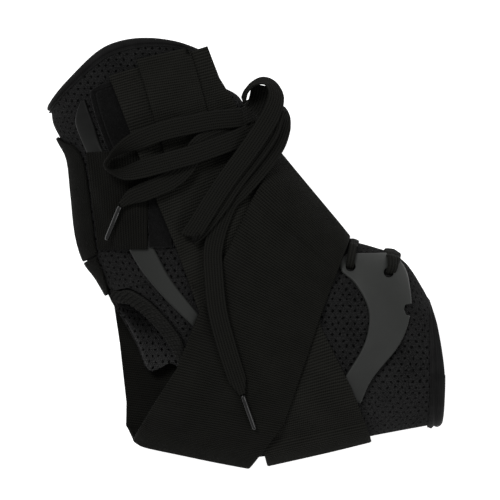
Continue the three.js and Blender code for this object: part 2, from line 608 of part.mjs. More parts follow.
// What each layer on the upper side covers, so that the layers over it are lifted by it
const layers = [];
const plateLayer = 0; // the eyelet plate is the first of them

function addLayer(rows, rise) {
  const upper = rows.filter((row) => row.face !== "floor");
  const outline = [
    ...upper.map((row) => flat(row, "left")),
    ...upper.map((row) => flat(row, "right")).reverse(),
  ];
  layers.push({ outline, rise });
}

function outlineDistance(outline, px, py) {
  let inside = false;
  let nearest = Infinity;
  outline.forEach((b, i) => {
    const a = outline[(i + outline.length - 1) % outline.length];
    if (a.y > py !== b.y > py && px < ((b.x - a.x) * (py - a.y)) / (b.y - a.y) + a.x) inside = !inside;
    const along = b.clone().sub(a);
    const t = THREE.MathUtils.clamp(((px - a.x) * along.x + (py - a.y) * along.y) / along.lengthSq(), 0, 1);
    nearest = Math.min(nearest, Math.hypot(px - a.x - along.x * t, py - a.y - along.y * t));
  });
  return inside ? 0 : nearest;
}

function stackUnder(px, py, count) {
  let total = layerGap;
  for (const { outline, rise } of layers.slice(0, count)) {
    const past = outlineDistance(outline, px, py) - drapeMargin;
    total += rise * (1 - THREE.MathUtils.smoothstep(past, 0, drapeFall));
  }
  return total;
}

// A strap or plate laid through its rows on the form and on the layers already there
function laid(rows, across, thickness) {
  const count = layers.length;
  const heightAt = (p, face) => {
    if (face === "floor") return thickness / 2;
    const level = stackUnder(p.x, p.y, count) + thickness / 2;
    return levelHeight(p.x, p.y, "upper", level, stiffShare);
  };
  const grid = [];
  const spot = (row, c) => flat(row, "left").lerp(flat(row, "right"), c / across);
  rows.forEach((row, r) => {
    const before = rows[r - 1];
    for (let k = 1; k <= (row.steps ?? 1); k++) {
      const share = k / (row.steps ?? 1);
      grid.push(
        Array.from({ length: across + 1 }, (_, c) => {
          const to = spot(row, c);
          if (r === 0) return new THREE.Vector3(to.x, to.y, heightAt(to, row.face));
          const from = spot(before, c);
          if (row.face !== "fold" && before.face !== "fold") {
            const p = from.lerp(to, share);
            return new THREE.Vector3(p.x, p.y, heightAt(p, row.face));
          }
          // Round a fold the strap follows a quarter of an ellipse
          const turn = ((row.face === "fold" ? 1 - share : share) * Math.PI) / 2;
          const fold = row.face === "fold" ? to : from;
          const rest = row.face === "fold" ? from : to;
          const restHeight = heightAt(rest, row.face === "fold" ? before.face : row.face);
          const p = fold.clone().lerp(rest, 1 - Math.cos(turn));
          return new THREE.Vector3(p.x, p.y, rimHeight + (restHeight - rimHeight) * Math.sin(turn));
        }),
      );
    }
  });
  return sheet(grid, thickness);
}

// A plate on either side, in the layer next to the panel
function plateOn(face, rows, across) {
  const level = layerGap + plate / 2;
  const grid = crossRows(rows, across).map((row) =>
    row.map((p) => new THREE.Vector3(p.x, p.y, levelHeight(p.x, p.y, face, level))),
  );
  return sheet(grid, plate);
}

function solidOf(geometry) {
  const bare = geometry.clone();
  bare.deleteAttribute("normal");
  bare.deleteAttribute("uv");
  const merged = mergeVertices(bare, 1e-4);
  const mesh = new wasm.Mesh({
    numProp: 3,
    vertProperties: merged.attributes.position.array,
    triVerts: new Uint32Array(merged.index.array),
  });
  return new wasm.Manifold(mesh);
}

function geometryOf(solid) {
  const mesh = solid.getMesh();
  const geometry = new THREE.BufferGeometry();
  geometry.setAttribute("position", new THREE.BufferAttribute(mesh.vertProperties, 3));
  geometry.setIndex(new THREE.BufferAttribute(mesh.triVerts, 1));
  return geometry;
}

// An eyelet plate with its two holes
function instepPlate(face) {
  const cutterHeight = 60;
  let solid = solidOf(plateOn(face, instepRows, 3));
  for (const eyelet of eyelets) {
    const place = flat(eyelet, "at");
    const cutter = new THREE.CylinderGeometry(eyeletRadius, eyeletRadius, cutterHeight, eyeletSides);
    cutter.rotateX(Math.PI / 2);
    cutter.translate(place.x, place.y, rimHeight + (sides[face].up * cutterHeight) / 2);
    solid = solid.subtract(solidOf(cutter));
  }
  return geometryOf(solid);
}

// A strand of lace over the front, on the panels and the plates
function laceCross({ reach, skew, ...row }, count) {
  const steps = 8;
  const edge = flat(row, "front");
  const rim = nearestRim(edge.x, edge.y, frontLine);
  const alongX = -rim.inY;
  const alongY = rim.inX;
  const length = reach * braceLength;
  const grid = Array.from({ length: steps + 1 }, (_, k) => {
    const turn = (2 * k) / steps - 1;
    const face = turn < 0 ? "lower" : "upper";
    const limit = Math.acos(1 - length / sides[face].round);
    const inset = sides[face].round * (1 - Math.cos(limit * turn)) - rim.distance;
    return [-0.5, 0.5].map((side) => {
      const shift = (side + skew * turn) * crossWidth;
      const px = edge.x + rim.inX * inset + alongX * shift;
      const py = edge.y + rim.inY * inset + alongY * shift;
      const lowerLift = layerGap + (plate + layerGap) * lowerShare(px, py);
      const lift = face === "upper" ? stackUnder(px, py, count) : lowerLift;
      return formPoint(px, py, face, lift + laceThickness / 2);
    });
  });
  return sheet(grid, laceThickness);
}

// How far a strand on the lower side is lifted by the eyelet plate
function lowerShare(px, py) {
  const past = outlineDistance(layers[plateLayer].outline, px, py) - drapeMargin;
  return 1 - THREE.MathUtils.smoothstep(past, 0, drapeFall);
}

// A free lace, a flat section carried along its route
function freeLace(route, steps) {
  const places = route.map(({ x, y, z }) => new THREE.Vector3(x, y, z));
  const curve = new THREE.CatmullRomCurve3(places, false, "centripetal");
  const up = new THREE.Vector3(0, 0, 1);
  const steep = 0.7; // past this slope the lace keeps the turn that it came with
  const half = laceWidth / 2;
  const rise = laceThickness / 2;
  const flatSection = [[1, 0], [0.85, 1], [0, 1], [-0.85, 1], [-1, 0], [-0.85, -1], [0, -1], [0.85, -1]];
  let width = new THREE.Vector3();
  const rings = Array.from({ length: steps + 1 }, (_, i) => {
    const t = i / steps;
    const place = t * (route.length - 1);
    const row = route[Math.floor(place)];
    const next = route[Math.min(Math.floor(place) + 1, route.length - 1)];
    const share = place - Math.floor(place);
    const roll = THREE.MathUtils.degToRad(THREE.MathUtils.lerp(row.roll, next.roll, share));
    const kept = THREE.MathUtils.lerp(row.width, next.width, share);
    const centre = curve.getPoint(t);
    const along = curve.getTangent(t);
    width.addScaledVector(along, -width.dot(along));
    if (i === 0 || Math.abs(along.z) < steep) {
      const level = new THREE.Vector3().crossVectors(along, up).normalize();
      const above = new THREE.Vector3().crossVectors(level, along);
      const wanted = level.multiplyScalar(Math.cos(roll)).addScaledVector(above, Math.sin(roll));
      width.copy(wanted).multiplyScalar(width.dot(wanted) < 0 ? -1 : 1);
    }
    width.normalize();
    const over = new THREE.Vector3().crossVectors(along, width);
    const thick = THREE.MathUtils.mapLinear(kept, tipShare, 1, agletRadius * agletBore, rise);
    return flatSection.map(([w, h]) =>
      centre.clone().addScaledVector(width, w * half * kept).addScaledVector(over, h * thick),
    );
  });
  return sweep(rings);
}

// A closed body through rings of points
function sweep(rings) {
  const corners = rings[0].length;
  const points = rings.flat();
  const faces = [];
  for (let i = 0; i < rings.length - 1; i++) {
    for (let j = 0; j < corners; j++) {
      const a = i * corners + j;
      const b = i * corners + ((j + 1) % corners);
      faces.push(a, b, b + corners, a, b + corners, a + corners);
    }
  }
  const last = (rings.length - 1) * corners;
  for (let j = 1; j < corners - 1; j++) {
    faces.push(0, j + 1, j, last, last + j, last + j + 1);
  }
  return facingOut(points, faces);
}

function aglet({ x: px, y: py, z: pz, headX, headY, headZ }) {
  const head = new THREE.Vector3(headX, headY, headZ).normalize();
  const geometry = new THREE.CylinderGeometry(agletRadius, agletRadius, agletLength, agletSides);
  geometry.applyQuaternion(new THREE.Quaternion().setFromUnitVectors(new THREE.Vector3(0, 1, 0), head));
  geometry.translate(...new THREE.Vector3(px, py, pz).addScaledVector(head, agletLength / 2).toArray());
  return geometry;
}

// The brace without its free laces, which is centred over its own base
const body = new THREE.Group();
const part = new THREE.Group();
part.add(body);

function add(group, name, geometry, material) {
  const mesh = new THREE.Mesh(geometry, material);
  mesh.name = name;
  group.add(mesh);
  return mesh;
}

add(body, "side_panel_near", panel("upper"), meshBlack);
add(body, "side_panel_far", panel("lower"), meshBlack);
add(body, "cuff_binding", binding(ribs[0], openRims.cuff), satinBlack);
add(body, "toe_binding", binding(ribs[ribs.length - 1], openRims.toe), satinBlack);
add(body, "tongue", tongue(), meshBlack);
add(body, "heel_elastic", heelElastic(), meshBlack);
add(body, "back_band", backWrap(backBandRows, bandThickness), webbingBlack);
add(body, "achilles_edge", backWrap(achillesRows, bandThickness), webbingBlack);

add(body, "instep_plate_near", instepPlate("upper"), plasticGrey);
add(body, "instep_plate_far", instepPlate("lower"), plasticGrey);
addLayer(instepRows, plate + layerGap);
laceCrosses.forEach((cross, i) => {
  add(body, "lace_cross_" + (i + 1), laceCross(cross, layers.length), laceBlack);
});
add(body, "stay_near", plateOn("upper", stayRows, 3), plasticGrey);
add(body, "stay_far", plateOn("lower", stayRows, 3), plasticGrey);
add(body, "loop_pad", laid(loopPadRows, 4, padThickness), padBlack);
addLayer(stayRows, plate + layerGap);
addLayer(heelElasticRows, (elasticThickness - panelWall) / 2 + gatherDepth);
addLayer(loopPadRows, padThickness + layerGap);

add(body, "cuff_strap", laid(cuffStrapRows, 6, bandThickness), webbingBlack);
add(body, "cuff_hook_tab", laid(cuffHookRows, 6, bandThickness), padBlack);
addLayer(cuffStrapRows, bandThickness + layerGap);
addLayer(cuffHookRows, bandThickness + layerGap);
add(body, "arch_strap", laid(archStrapRows, 6, webbing), webbingBlack);
addLayer(archStrapRows, webbing + layerGap);
add(body, "strap_tab", laid(strapTabRows, 5, webbing), webbingBlack);
addLayer(strapTabRows, webbing + layerGap);
add(body, "heel_strap", laid(heelStrapRows, 6, webbing), webbingBlack);
addLayer(heelStrapRows, webbing + layerGap);

const box = new THREE.Box3().setFromObject(body, true);
body.position.set(-(box.min.x + box.max.x) / 2, -(box.min.y + box.max.y) / 2, -box.min.z);

add(part, "lace_left", freeLace(laceLeftRoute, 41), laceBlack);
add(part, "lace_long", freeLace(laceLongRoute, 47), laceBlack);
add(part, "aglet_left", aglet(agletLeft), agletBlack);
add(part, "aglet_long", aglet(agletLong), agletBlack);

export default part;
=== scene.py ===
"""A lace-up ankle brace lying on its side on a white floor, seen from straight above."""

import math

import bpy
import numpy as np
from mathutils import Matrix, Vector


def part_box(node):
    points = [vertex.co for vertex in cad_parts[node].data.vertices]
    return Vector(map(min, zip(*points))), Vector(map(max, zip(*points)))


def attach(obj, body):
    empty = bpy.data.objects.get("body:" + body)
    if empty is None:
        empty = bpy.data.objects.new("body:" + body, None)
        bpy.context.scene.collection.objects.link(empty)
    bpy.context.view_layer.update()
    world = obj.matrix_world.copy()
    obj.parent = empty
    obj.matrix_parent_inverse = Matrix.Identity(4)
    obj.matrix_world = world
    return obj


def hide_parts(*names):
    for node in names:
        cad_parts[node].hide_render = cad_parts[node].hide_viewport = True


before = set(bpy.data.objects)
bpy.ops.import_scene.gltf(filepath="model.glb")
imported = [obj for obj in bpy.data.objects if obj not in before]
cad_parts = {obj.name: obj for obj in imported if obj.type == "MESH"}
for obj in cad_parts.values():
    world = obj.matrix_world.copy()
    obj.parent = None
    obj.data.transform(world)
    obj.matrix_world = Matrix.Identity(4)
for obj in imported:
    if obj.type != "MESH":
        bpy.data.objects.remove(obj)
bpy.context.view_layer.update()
MM = 0.001

# Sizes in millimetres
LENGTH = 187.3
HEIGHT = 202.6
UPPER = {"up": 1, "bulge": 28.0, "round": 34.0}
LOWER = {"up": -1, "bulge": 20.0, "round": 22.0}
PANEL_WALL = 3.5
PANEL_EDGE = 2.2  # how far in from its ends a panel rounds off
SOFT_GIVE = 0.35  # depth of the slight, uneven give of the padded wall
SOFT_SIZE = 26  # rough size of its waves
SEAM_GAP = 0.3
SLIT_HALF_WIDTH = 8.0
FOOT_START = 48.0  # where the top of the foot starts, along the length
WEBBING = 1.5
PLATE = 1.6
PAD = 1.6
BAND = 1.4
KNIT_BAND = 0.9
CAD_LAYER_GAP = 0.7  # between layers in the frame
LAYER_GAP = 0.35  # between layers here
LOWER_STACK = WEBBING + CAD_LAYER_GAP + PLATE + CAD_LAYER_GAP
RIM_HEIGHT = LOWER_STACK + LOWER["bulge"]
BINDING_THICKNESS = 4.3
BINDING_SEAT = -0.05  # share of its width by which the tape starts before its seam
BINDING_COLUMNS = 110
BACK_DROP = 0.2  # how much flatter the cuff's edge is towards the back
TONGUE_THICKNESS = 3.0
TONGUE_GAP = 1.1
TONGUE_ANGLE = 34
TONGUE_RIBS = 13  # how many rows of the ribs' table it runs along
ELASTIC_THICKNESS = 4.0
GATHER_DEPTH = 0.5
GATHER_PITCH = 2.7
LACE_WIDTH = 9.0
LACE_THICKNESS = 1.5
LACE_RIBS = 7
LACE_TIP = 0.3  # share of its width that a lace keeps in its aglet
AGLET_RADIUS = 1.15
CROSS_WIDTH = 5.0
EYELET_RADIUS = 2.3

# How straps and plates lie on what is under them
STIFF_SHARE = 0.3  # share of the rounding at the rim that a strap bridges
DRAPE_MARGIN = 0.8  # how far past a layer's edge a strap stays up
DRAPE_FALL = 6.5  # how far it then takes to come down
FOLD_STEPS = 1.6  # how much closer together the rows of a fold lie
FOLD_ROUND = 2.4  # how fast a loose fold straightens from its end
FOLD_TURN = 2.8  # how far that end turns in
STRAP_COLUMN = 2.6
RIBS_SHOWN = 4  # mesh rows to each woven rib
PAD_STEP = 0.7
PAD_COLUMN = 0.45
PAD_CORNER = 2.6
PAD_BORDER = 2.4

# Patterns of the materials
STRAND_PITCH = 0.95
STRAND_SLANT = 0.18
MESH_DRIFT = 2.4  # how far the holes wander off their rows
MESH_ROW = 1.6  # row spacing of the holes as a share of their pitch
# Centre and reach, in millimetres on the mesh's UV map, of a painted highlight: flecks painted brighter
# where light catches the mesh in the fold near the toe
PAINTED_GLINT_PLACE = (64, -72)
PAINTED_GLINT_REACH = 14.0

# Cloth simulation of the padded panels, run at a scale where a millimetre is a centimetre
SIM_SCALE = 0.01
SIM_FRAMES = 18
SPARE_LENGTH = 0.05  # share of its size that the cloth has to spare
GIVE_LIMIT = 1.3  # how far it may settle away from the form

# Camera: straight down, a long lens whose view is the photo's frame
PIXEL = 0.47
VIEW_CENTRE = (2.35, 2.05, 30.0)
LENS = 300.0
SENSOR = 36.0
VIEW_WIDTH = 500 * PIXEL


def add_object(name, data):
    item = bpy.data.objects.new(name, data)
    bpy.context.scene.collection.objects.link(item)
    return item


def add_camera():
    data = bpy.data.cameras.new("camera")
    data.lens = LENS
    data.sensor_width = SENSOR
    data.clip_end = 50
    camera = add_object("camera", data)
    distance = VIEW_WIDTH * LENS / SENSOR
    camera.location = Vector((VIEW_CENTRE[0], VIEW_CENTRE[1], VIEW_CENTRE[2] + distance)) * MM
    bpy.context.scene.camera = camera


add_camera()


def table(columns, *rows):
    """Rows with their values under the names of the columns. A row may leave out the last ones."""
    names = columns.split()
    return [dict(zip(names, row)) for row in rows]


# Places are shares of the length and the height. A lower place that is left out is the upper one.
FRONT_RIM = [
    (0.400, 0.977), (0.408, 0.963), (0.428, 0.930), (0.448, 0.896), (0.496, 0.868), (0.533, 0.805),
    (0.576, 0.729), (0.664, 0.629), (0.754, 0.533), (0.807, 0.523), (0.862, 0.508), (0.910, 0.480),
    (0.937, 0.445), (0.962, 0.401), (0.970, 0.392),
]
BACK_RIM = [
    (0.004, 0.842), (0.011, 0.826), (0.016, 0.796), (0.036, 0.759), (0.058, 0.717), (0.068, 0.636),
    (0.079, 0.543), (0.100, 0.480), (0.132, 0.439), (0.167, 0.374), (0.182, 0.288), (0.192, 0.195),
    (0.207, 0.125), (0.242, 0.067), (0.388, 0.039), (0.518, 0.019), (0.543, 0.023), (0.689, 0.046),
    (0.827, 0.072), (0.962, 0.095), (0.992, 0.100),
]
RIBS = table(
    "front upper arch lower",
    ((0.408, 0.963), (0.011, 0.826), 0.075),
    ((0.428, 0.930), (0.016, 0.796), 0.060),
    ((0.448, 0.896), (0.036, 0.759), 0.045),
    ((0.496, 0.868), (0.058, 0.717), 0.028),
    ((0.533, 0.805), (0.068, 0.636), 0.013),
    ((0.576, 0.729), (0.079, 0.543), 0),
    ((0.634, 0.664), (0.100, 0.480), 0),
    ((0.694, 0.596), (0.132, 0.439), 0),
    ((0.754, 0.533), (0.164, 0.413), 0, (0.167, 0.374)),
    ((0.779, 0.529), (0.207, 0.418), 0, (0.192, 0.336)),
    ((0.807, 0.523), (0.262, 0.390), 0, (0.222, 0.285)),
    ((0.834, 0.516), (0.312, 0.346), 0, (0.255, 0.223)),
    ((0.862, 0.508), (0.355, 0.288), 0, (0.317, 0.239)),
    ((0.890, 0.495), (0.383, 0.195), 0, (0.368, 0.190)),
    ((0.910, 0.480), (0.400, 0.102), 0, (0.398, 0.102)),
    ((0.925, 0.462), (0.423, 0.035), 0),
    ((0.937, 0.445), (0.543, 0.023), 0),
    ((0.947, 0.429), (0.689, 0.046), 0),
    ((0.957, 0.413), (0.827, 0.072), 0),
    ((0.962, 0.401), (0.962, 0.095), 0),
)
CUFF_RIM = dict(front=(0.400, 0.977), upper=(0.004, 0.842), arch=0.084)
TOE_RIM = dict(front=(0.970, 0.392), upper=(0.999, 0.1005), arch=-0.014)
for rib in RIBS + [CUFF_RIM, TOE_RIM]:
    rib.setdefault("lower", rib["upper"])
HEEL_ELASTIC = table(
    "left right",
    ((0.165, 0.416), (0.169, 0.384)),
    ((0.187, 0.412), (0.192, 0.381)),
    ((0.210, 0.413), (0.210, 0.379)),
    ((0.260, 0.387), (0.247, 0.355)),
    ((0.310, 0.342), (0.292, 0.311)),
    ((0.351, 0.285), (0.327, 0.262)),
    ((0.379, 0.195), (0.353, 0.183)),
    ((0.396, 0.102), (0.368, 0.095)),
)
HEEL_STRAP = table(
    "left right face loose",
    ((0.445, 0.703), (0.508, 0.478), "floor"),
    ((0.493, 0.712), (0.639, 0.508), "floor"),
    ((0.586, 0.735), (0.764, 0.536), "fold"),
    ((0.518, 0.622), (0.731, 0.457), "upper"),
    ((0.450, 0.490), (0.694, 0.369), "upper"),
    ((0.388, 0.364), (0.659, 0.271), "upper"),
    ((0.332, 0.234), (0.621, 0.169), "upper"),
    ((0.282, 0.162), (0.598, 0.109), "upper"),
    ((0.217, 0.055), (0.513, 0.001), "fold", True),
    ((0.198, 0.094), (0.496, 0.056), "floor"),
    ((0.199, 0.148), (0.488, 0.109), "floor"),
    ((0.182, 0.288), (0.468, 0.265), "floor"),
    ((0.169, 0.369), (0.455, 0.369), "floor"),
    ((0.137, 0.624), (0.420, 0.636), "floor"),
    ((0.124, 0.861), (0.395, 0.875), "floor"),
)
ARCH_STRAP = table(
    "left right face",
    ((0.164, 0.905), (0.408, 0.976), "upper"),
    ((0.189, 0.845), (0.438, 0.903), "upper"),
    ((0.222, 0.763), (0.478, 0.842), "upper"),
    ((0.287, 0.608), (0.536, 0.698), "upper"),
    ((0.332, 0.508), (0.586, 0.599), "upper"),
    ((0.388, 0.364), (0.641, 0.455), "upper"),
    ((0.440, 0.234), (0.694, 0.323), "upper"),
    ((0.488, 0.132), (0.764, 0.193), "upper"),
    ((0.543, 0.060), (0.799, 0.114), "upper"),
    ((0.557, 0.007), (0.819, 0.063), "fold"),
    ((0.533, 0.102), (0.809, 0.160), "floor"),
    ((0.521, 0.253), (0.797, 0.288), "floor"),
    ((0.506, 0.392), (0.784, 0.415), "floor"),
)
STRAP_TAB = table(
    "left right",
    ((0.232, 0.942), (0.363, 0.972)),
    ((0.252, 0.884), (0.385, 0.903)),
    ((0.282, 0.789), (0.408, 0.824)),
    ((0.307, 0.712), (0.425, 0.752)),
)
CUFF_STRAP = table(
    "left right",
    ((0.107, 0.731), (0.138, 0.508)),
    ((0.147, 0.732), (0.167, 0.508)),
    ((0.202, 0.733), (0.215, 0.508)),
    ((0.257, 0.733), (0.260, 0.508)),
)
CUFF_HOOK = table(
    "left right",
    ((0.261, 0.729), (0.263, 0.513)),
    ((0.317, 0.729), (0.320, 0.513)),
)
STAY = table(
    "left right",
    ((0.094, 0.849), (0.104, 0.852)),
    ((0.082, 0.819), (0.117, 0.817)),
    ((0.082, 0.791), (0.128, 0.789)),
    ((0.104, 0.740), (0.146, 0.740)),
    ((0.149, 0.647), (0.197, 0.657)),
    ((0.220, 0.497), (0.280, 0.503)),
    ((0.287, 0.411), (0.320, 0.436)),
    ((0.375, 0.329), (0.388, 0.357)),
)
LOOP_PAD = table(
    "left right",
    ((0.112, 0.879), (0.202, 0.903)),
    ((0.132, 0.810), (0.225, 0.835)),
    ((0.156, 0.749), (0.250, 0.775)),
    ((0.179, 0.703), (0.270, 0.726)),
)
INSTEP = table(
    "left right",
    ((0.754, 0.497), (0.852, 0.499)),
    ((0.737, 0.480), (0.887, 0.483)),
    ((0.742, 0.457), (0.905, 0.455)),
    ((0.772, 0.432), (0.912, 0.420)),
    ((0.802, 0.385), (0.915, 0.383)),
    ((0.809, 0.341), (0.905, 0.332)),
    ((0.794, 0.285), (0.880, 0.283)),
    ((0.752, 0.220), (0.817, 0.211)),
    ((0.714, 0.165), (0.789, 0.155)),
)
EYELETS = [
    (0.764, 0.469), (0.859, 0.455),
]
NOTCH = [
    (0.935, 0.386), (0.900, 0.381), (0.896, 0.371), (0.902, 0.358), (0.940, 0.348),
]
BACK_BAND = table(
    "at reach",
    ((0.031, 0.768), 0.006),
    ((0.041, 0.751), 0.014),
    ((0.057, 0.722), 0.038),
    ((0.066, 0.659), 0.047),
    ((0.073, 0.589), 0.049),
    ((0.079, 0.543), 0.049),
    ((0.0995, 0.4815), 0.042),
)
ACHILLES = table(
    "at reach",
    ((0.101, 0.479), 0.038),
    ((0.116, 0.457), 0.031),
    ((0.132, 0.439), 0.023),
    ((0.152, 0.401), 0.010),
)
LACE_CROSSES = table(
    "front reach skew",
    ((0.512, 0.842), 0.023, 0.25),
    ((0.535, 0.803), 0.023, 0.25),
    ((0.558, 0.761), 0.023, 0.25),
)
EYELET_STRANDS = table(
    "hole over wide narrow plate",
    ((0.760, 0.463), (0.775, 0.530), 5.2, 4.2, 4.8),
    ((0.860, 0.449), (0.872, 0.503), 7.6, 4.3, 4.6),
)

# The free laces: points in millimetres, the roll in degrees and the share of the width that is
# kept. Where these are left out, the roll is 0 and the width whole.
LACE_LEFT = table(
    "x y z roll width",
    (7.6, 79.2, 39.5),
    (6.9, 75.4, 39.2),
    (5.9, 71.2, 39.6),
    (4.2, 67.6, 42.2, 5),
    (1.5, 65.2, 47.5, 10),
    (-2.2, 63.7, 52.5),
    (-14, 62.3, 57.5),
    (-25.7, 59.9, 61.6),
    (-37.5, 57.1, 64.2),
    (-46.9, 53.8, 64.4, 5),
    (-56.3, 49.6, 63.4, 50),
    (-62.4, 44.9, 62.5, 85),
    (-64.7, 41.1, 62.5, 90),
    (-62.4, 38.6, 62.3, 85),
    (-56.3, 37.4, 62.1, 50),
    (-46.9, 39.7, 63.4, 10),
    (-35.1, 43, 64.1),
    (-23.4, 46.3, 62.1),
    (-11.6, 50.5, 59),
    (0.1, 55.2, 53.3),
    (4.2, 57.6, 50.9),
    (5.8, 58.6, 49.1),
    (3.4, 58.6, 48.1),
    (-4.6, 57.6, 51.5),
    (-14.9, 54.3, 57.4),
    (-21, 50.5, 60),
    (-24.8, 44.9, 59.8),
    (-28.6, 39.2, 59.4),
    (-34.2, 34.5, 60.1),
    (-40.8, 31.3, 61.1),
    (-46.9, 28.9, 59.9),
    (-52.5, 26.6, 58.6, 0, 0.8),
    (-57.5, 22.8, 58, 0, 0.3),
)
LACE_LONG = table(
    "x y z roll width",
    (-0.8, 72.1, 44.5, 75),
    (0.8, 76.2, 46, 78),
    (4, 79.6, 47, 75),
    (7.7, 80.9, 48, 66),
    (11.2, 80.0, 49.5, 62),
    (13.4, 77.6, 51, 52),
    (14.6, 73.2, 52.9, 35),
    (12.8, 66.5, 55.3, 15),
    (8.1, 58, 57.1),
    (0.1, 46.3, 59.5),
    (-7.9, 35.5, 60.3),
    (-15.4, 24.2, 60.6),
    (-22.4, 12.9, 60.7),
    (-25, 8.9, 59.7),
    (-23.4, 9.6, 58.5),
    (-19.6, 13.4, 58.2),
    (-12.6, 22.3, 58.5),
    (-5.1, 33.6, 58.1),
    (3.1, 44.6, 56.3),
    (11.3, 56.6, 53.5),
    (14.2, 64.2, 51.7, 30),
    (17, 67.2, 50.1, 70),
    (18.4, 64.6, 49.1, 60),
    (17.6, 59.6, 48.9, 30),
    (14.6, 51.5, 50, 10),
    (7, 40.4, 53.5),
    (-2.2, 29.8, 56.3),
    (-7.4, 24.6, 56.3),
    (-10.9, 16.7, 56.3),
    (-13.5, 8.7, 56.4),
    (-14.9, 0.6, 57.1),
    (-14.5, -8.8, 58.9),
    (-12.6, -26.6, 59.9),
    (-7.9, -44.4, 58.9),
    (-3.4, -58.4, 58.7, 0, 0.9),
    (-1.2, -64.9, 58.8, 0, 0.3),
)
AGLET_LEFT = dict(x=-57.9, y=22.1, z=58, headX=-6.4, headY=-15.3, headZ=-3.1)
AGLET_LONG = dict(x=-1, y=-65.5, z=58.8, headX=5.6, headY=-15.9, headZ=-3.4)


def flat_of(shares):
    return (np.asarray(shares) - 0.5) * (LENGTH, HEIGHT)


def place(row, name):
    return flat_of(row[name])


def mix(start, end, share):
    return start * (1 - share) + end * share


def smoothstep(value, low, high):
    t = np.clip((value - low) / (high - low), 0, 1)
    return t * t * (3 - 2 * t)


def bell(value):
    return np.exp(-(value**2))


def rounded(distance, reach, least):
    """Share of the full thickness near an edge: least right on it, 1 from reach inwards."""
    away = np.clip(distance / reach, 0, 1)
    return least + (1 - least) * np.sqrt(1 - (1 - away) ** 2)


def hermite(start, end, leaving, arriving, w):
    """A cubic curve between two points, from its speed at either one."""
    square = 3 * (end - start) - 2 * leaving - arriving
    cube = 2 * (start - end) + leaving + arriving
    return start + leaving * w + square * w**2 + cube * w**3


def spline(points, spots):
    """Points of a smooth curve through the given ones, at spots counted in those points."""
    points = np.asarray(points, float)
    last = len(points) - 1
    i = np.minimum(np.asarray(spots).astype(int), last - 1)
    w = (spots - i).reshape(-1, *[1] * (points.ndim - 1))
    p0, p1, p2, p3 = (points[np.clip(i + k, 0, last)] for k in (-1, 0, 1, 2))
    return hermite(p1, p2, (p2 - p0) / 2, (p3 - p1) / 2, w)


def catmull(points, steps):
    return spline(points, np.linspace(0, len(points) - 1, steps + 1))


def outwards(tip, inside):
    """Direction of unit length from a place inside towards a tip."""
    return (tip - inside) / np.linalg.norm(tip - inside)


# The rim lines of the padded form
RIM_STEPS = 70
RUN_ON = 30


def rim_line(places, inward_turn):
    points = catmull(flat_of(places), RIM_STEPS)
    first = points[0] + outwards(points[0], points[1]) * RUN_ON
    last = points[-1] + outwards(points[-1], points[-2]) * RUN_ON
    line = np.vstack([first, points, last])
    a = line[:-1]
    step = line[1:] - a
    length = np.linalg.norm(step, axis=1)
    along = step / length[:, None]
    inward = np.stack([-along[:, 1], along[:, 0]], 1) * inward_turn
    return {"a": a, "along": along, "length": length, "inward": inward}


FRONT_LINE = rim_line(FRONT_RIM, -1)
BACK_LINE = rim_line(BACK_RIM, 1)
RIM = {key: np.concatenate([FRONT_LINE[key], BACK_LINE[key]]) for key in FRONT_LINE}


def nearest_rim(points, line=RIM):
    """Distance in from the rim line, and the direction in, for an array of flat places."""
    points = np.asarray(points, float)
    flat = points.reshape(-1, 2)
    distance = np.empty(len(flat))
    inward = np.empty((len(flat), 2))
    for s in range(0, len(flat), 4000):
        p = flat[s : s + 4000, None, :]
        d = p - line["a"][None]
        t = np.clip((d * line["along"][None]).sum(-1), 0, line["length"][None])
        o = d - line["along"][None] * t[..., None]
        length = np.hypot(o[..., 0], o[..., 1])
        k = length.argmin(1)
        rows = np.arange(len(k))
        off = o[rows, k]
        near = length[rows, k]
        turn = line["inward"][k]
        side = np.where((off * turn).sum(-1) < 0, -1.0, 1.0)
        safe = np.maximum(near, 1e-9)[:, None]
        lies = (near > 1e-4)[:, None]
        distance[s : s + 4000] = near * side
        inward[s : s + 4000] = np.where(lies, off / safe * side[:, None], turn)
    return distance.reshape(points.shape[:-1]), inward.reshape(points.shape)


def form_points(points, face, level):
    """The padded form over flat places, pushed out of its surface by level."""
    distance, inward = nearest_rim(points)
    level = np.broadcast_to(level, distance.shape)
    angle = np.arccos(1 - np.clip(distance / face["round"], 0, 1))
    flat = points - inward * (level * np.cos(angle))[..., None]
    height = RIM_HEIGHT + face["up"] * (face["bulge"] + level) * np.sin(angle)
    return np.concatenate([flat, height[..., None]], -1)


def level_height(points, face, level, bridged=0.0):
    """Height of a layer that lies level outside the form."""
    share = (nearest_rim(points)[0] + level) / (face["round"] + level)
    rise = np.sqrt(1 - (1 - np.clip(share, bridged, 1)) ** 2)
    return RIM_HEIGHT + face["up"] * (face["bulge"] * rise + level * (1 if bridged > 0 else rise))


# Layers that lift what is laid over them
LAYERS = []


def outline_of(rows):
    """Outline of the part of a strap that lies on the upper side."""
    upper = [row for row in rows if row.get("face") != "floor"]
    return np.array([place(row, "left") for row in upper] + [place(row, "right") for row in upper][::-1])


def add_layer(rows, rise):
    LAYERS.append((outline_of(rows), rise))


def outline_distance(outline, points):
    flat = points.reshape(-1, 2)
    inside = np.zeros(len(flat), bool)
    nearest = np.full(len(flat), np.inf)
    for a, b in zip(np.roll(outline, 1, axis=0), outline):
        crosses = (a[1] > flat[:, 1]) != (b[1] > flat[:, 1])
        if b[1] != a[1]:
            edge = (b[0] - a[0]) * (flat[:, 1] - a[1]) / (b[1] - a[1]) + a[0]
            inside ^= crosses & (flat[:, 0] < edge)
        along = b - a
        t = np.clip(((flat - a) @ along) / (along @ along), 0, 1)
        nearest = np.minimum(nearest, np.linalg.norm(flat - a - t[:, None] * along, axis=1))
    return np.where(inside, 0, nearest).reshape(points.shape[:-1])


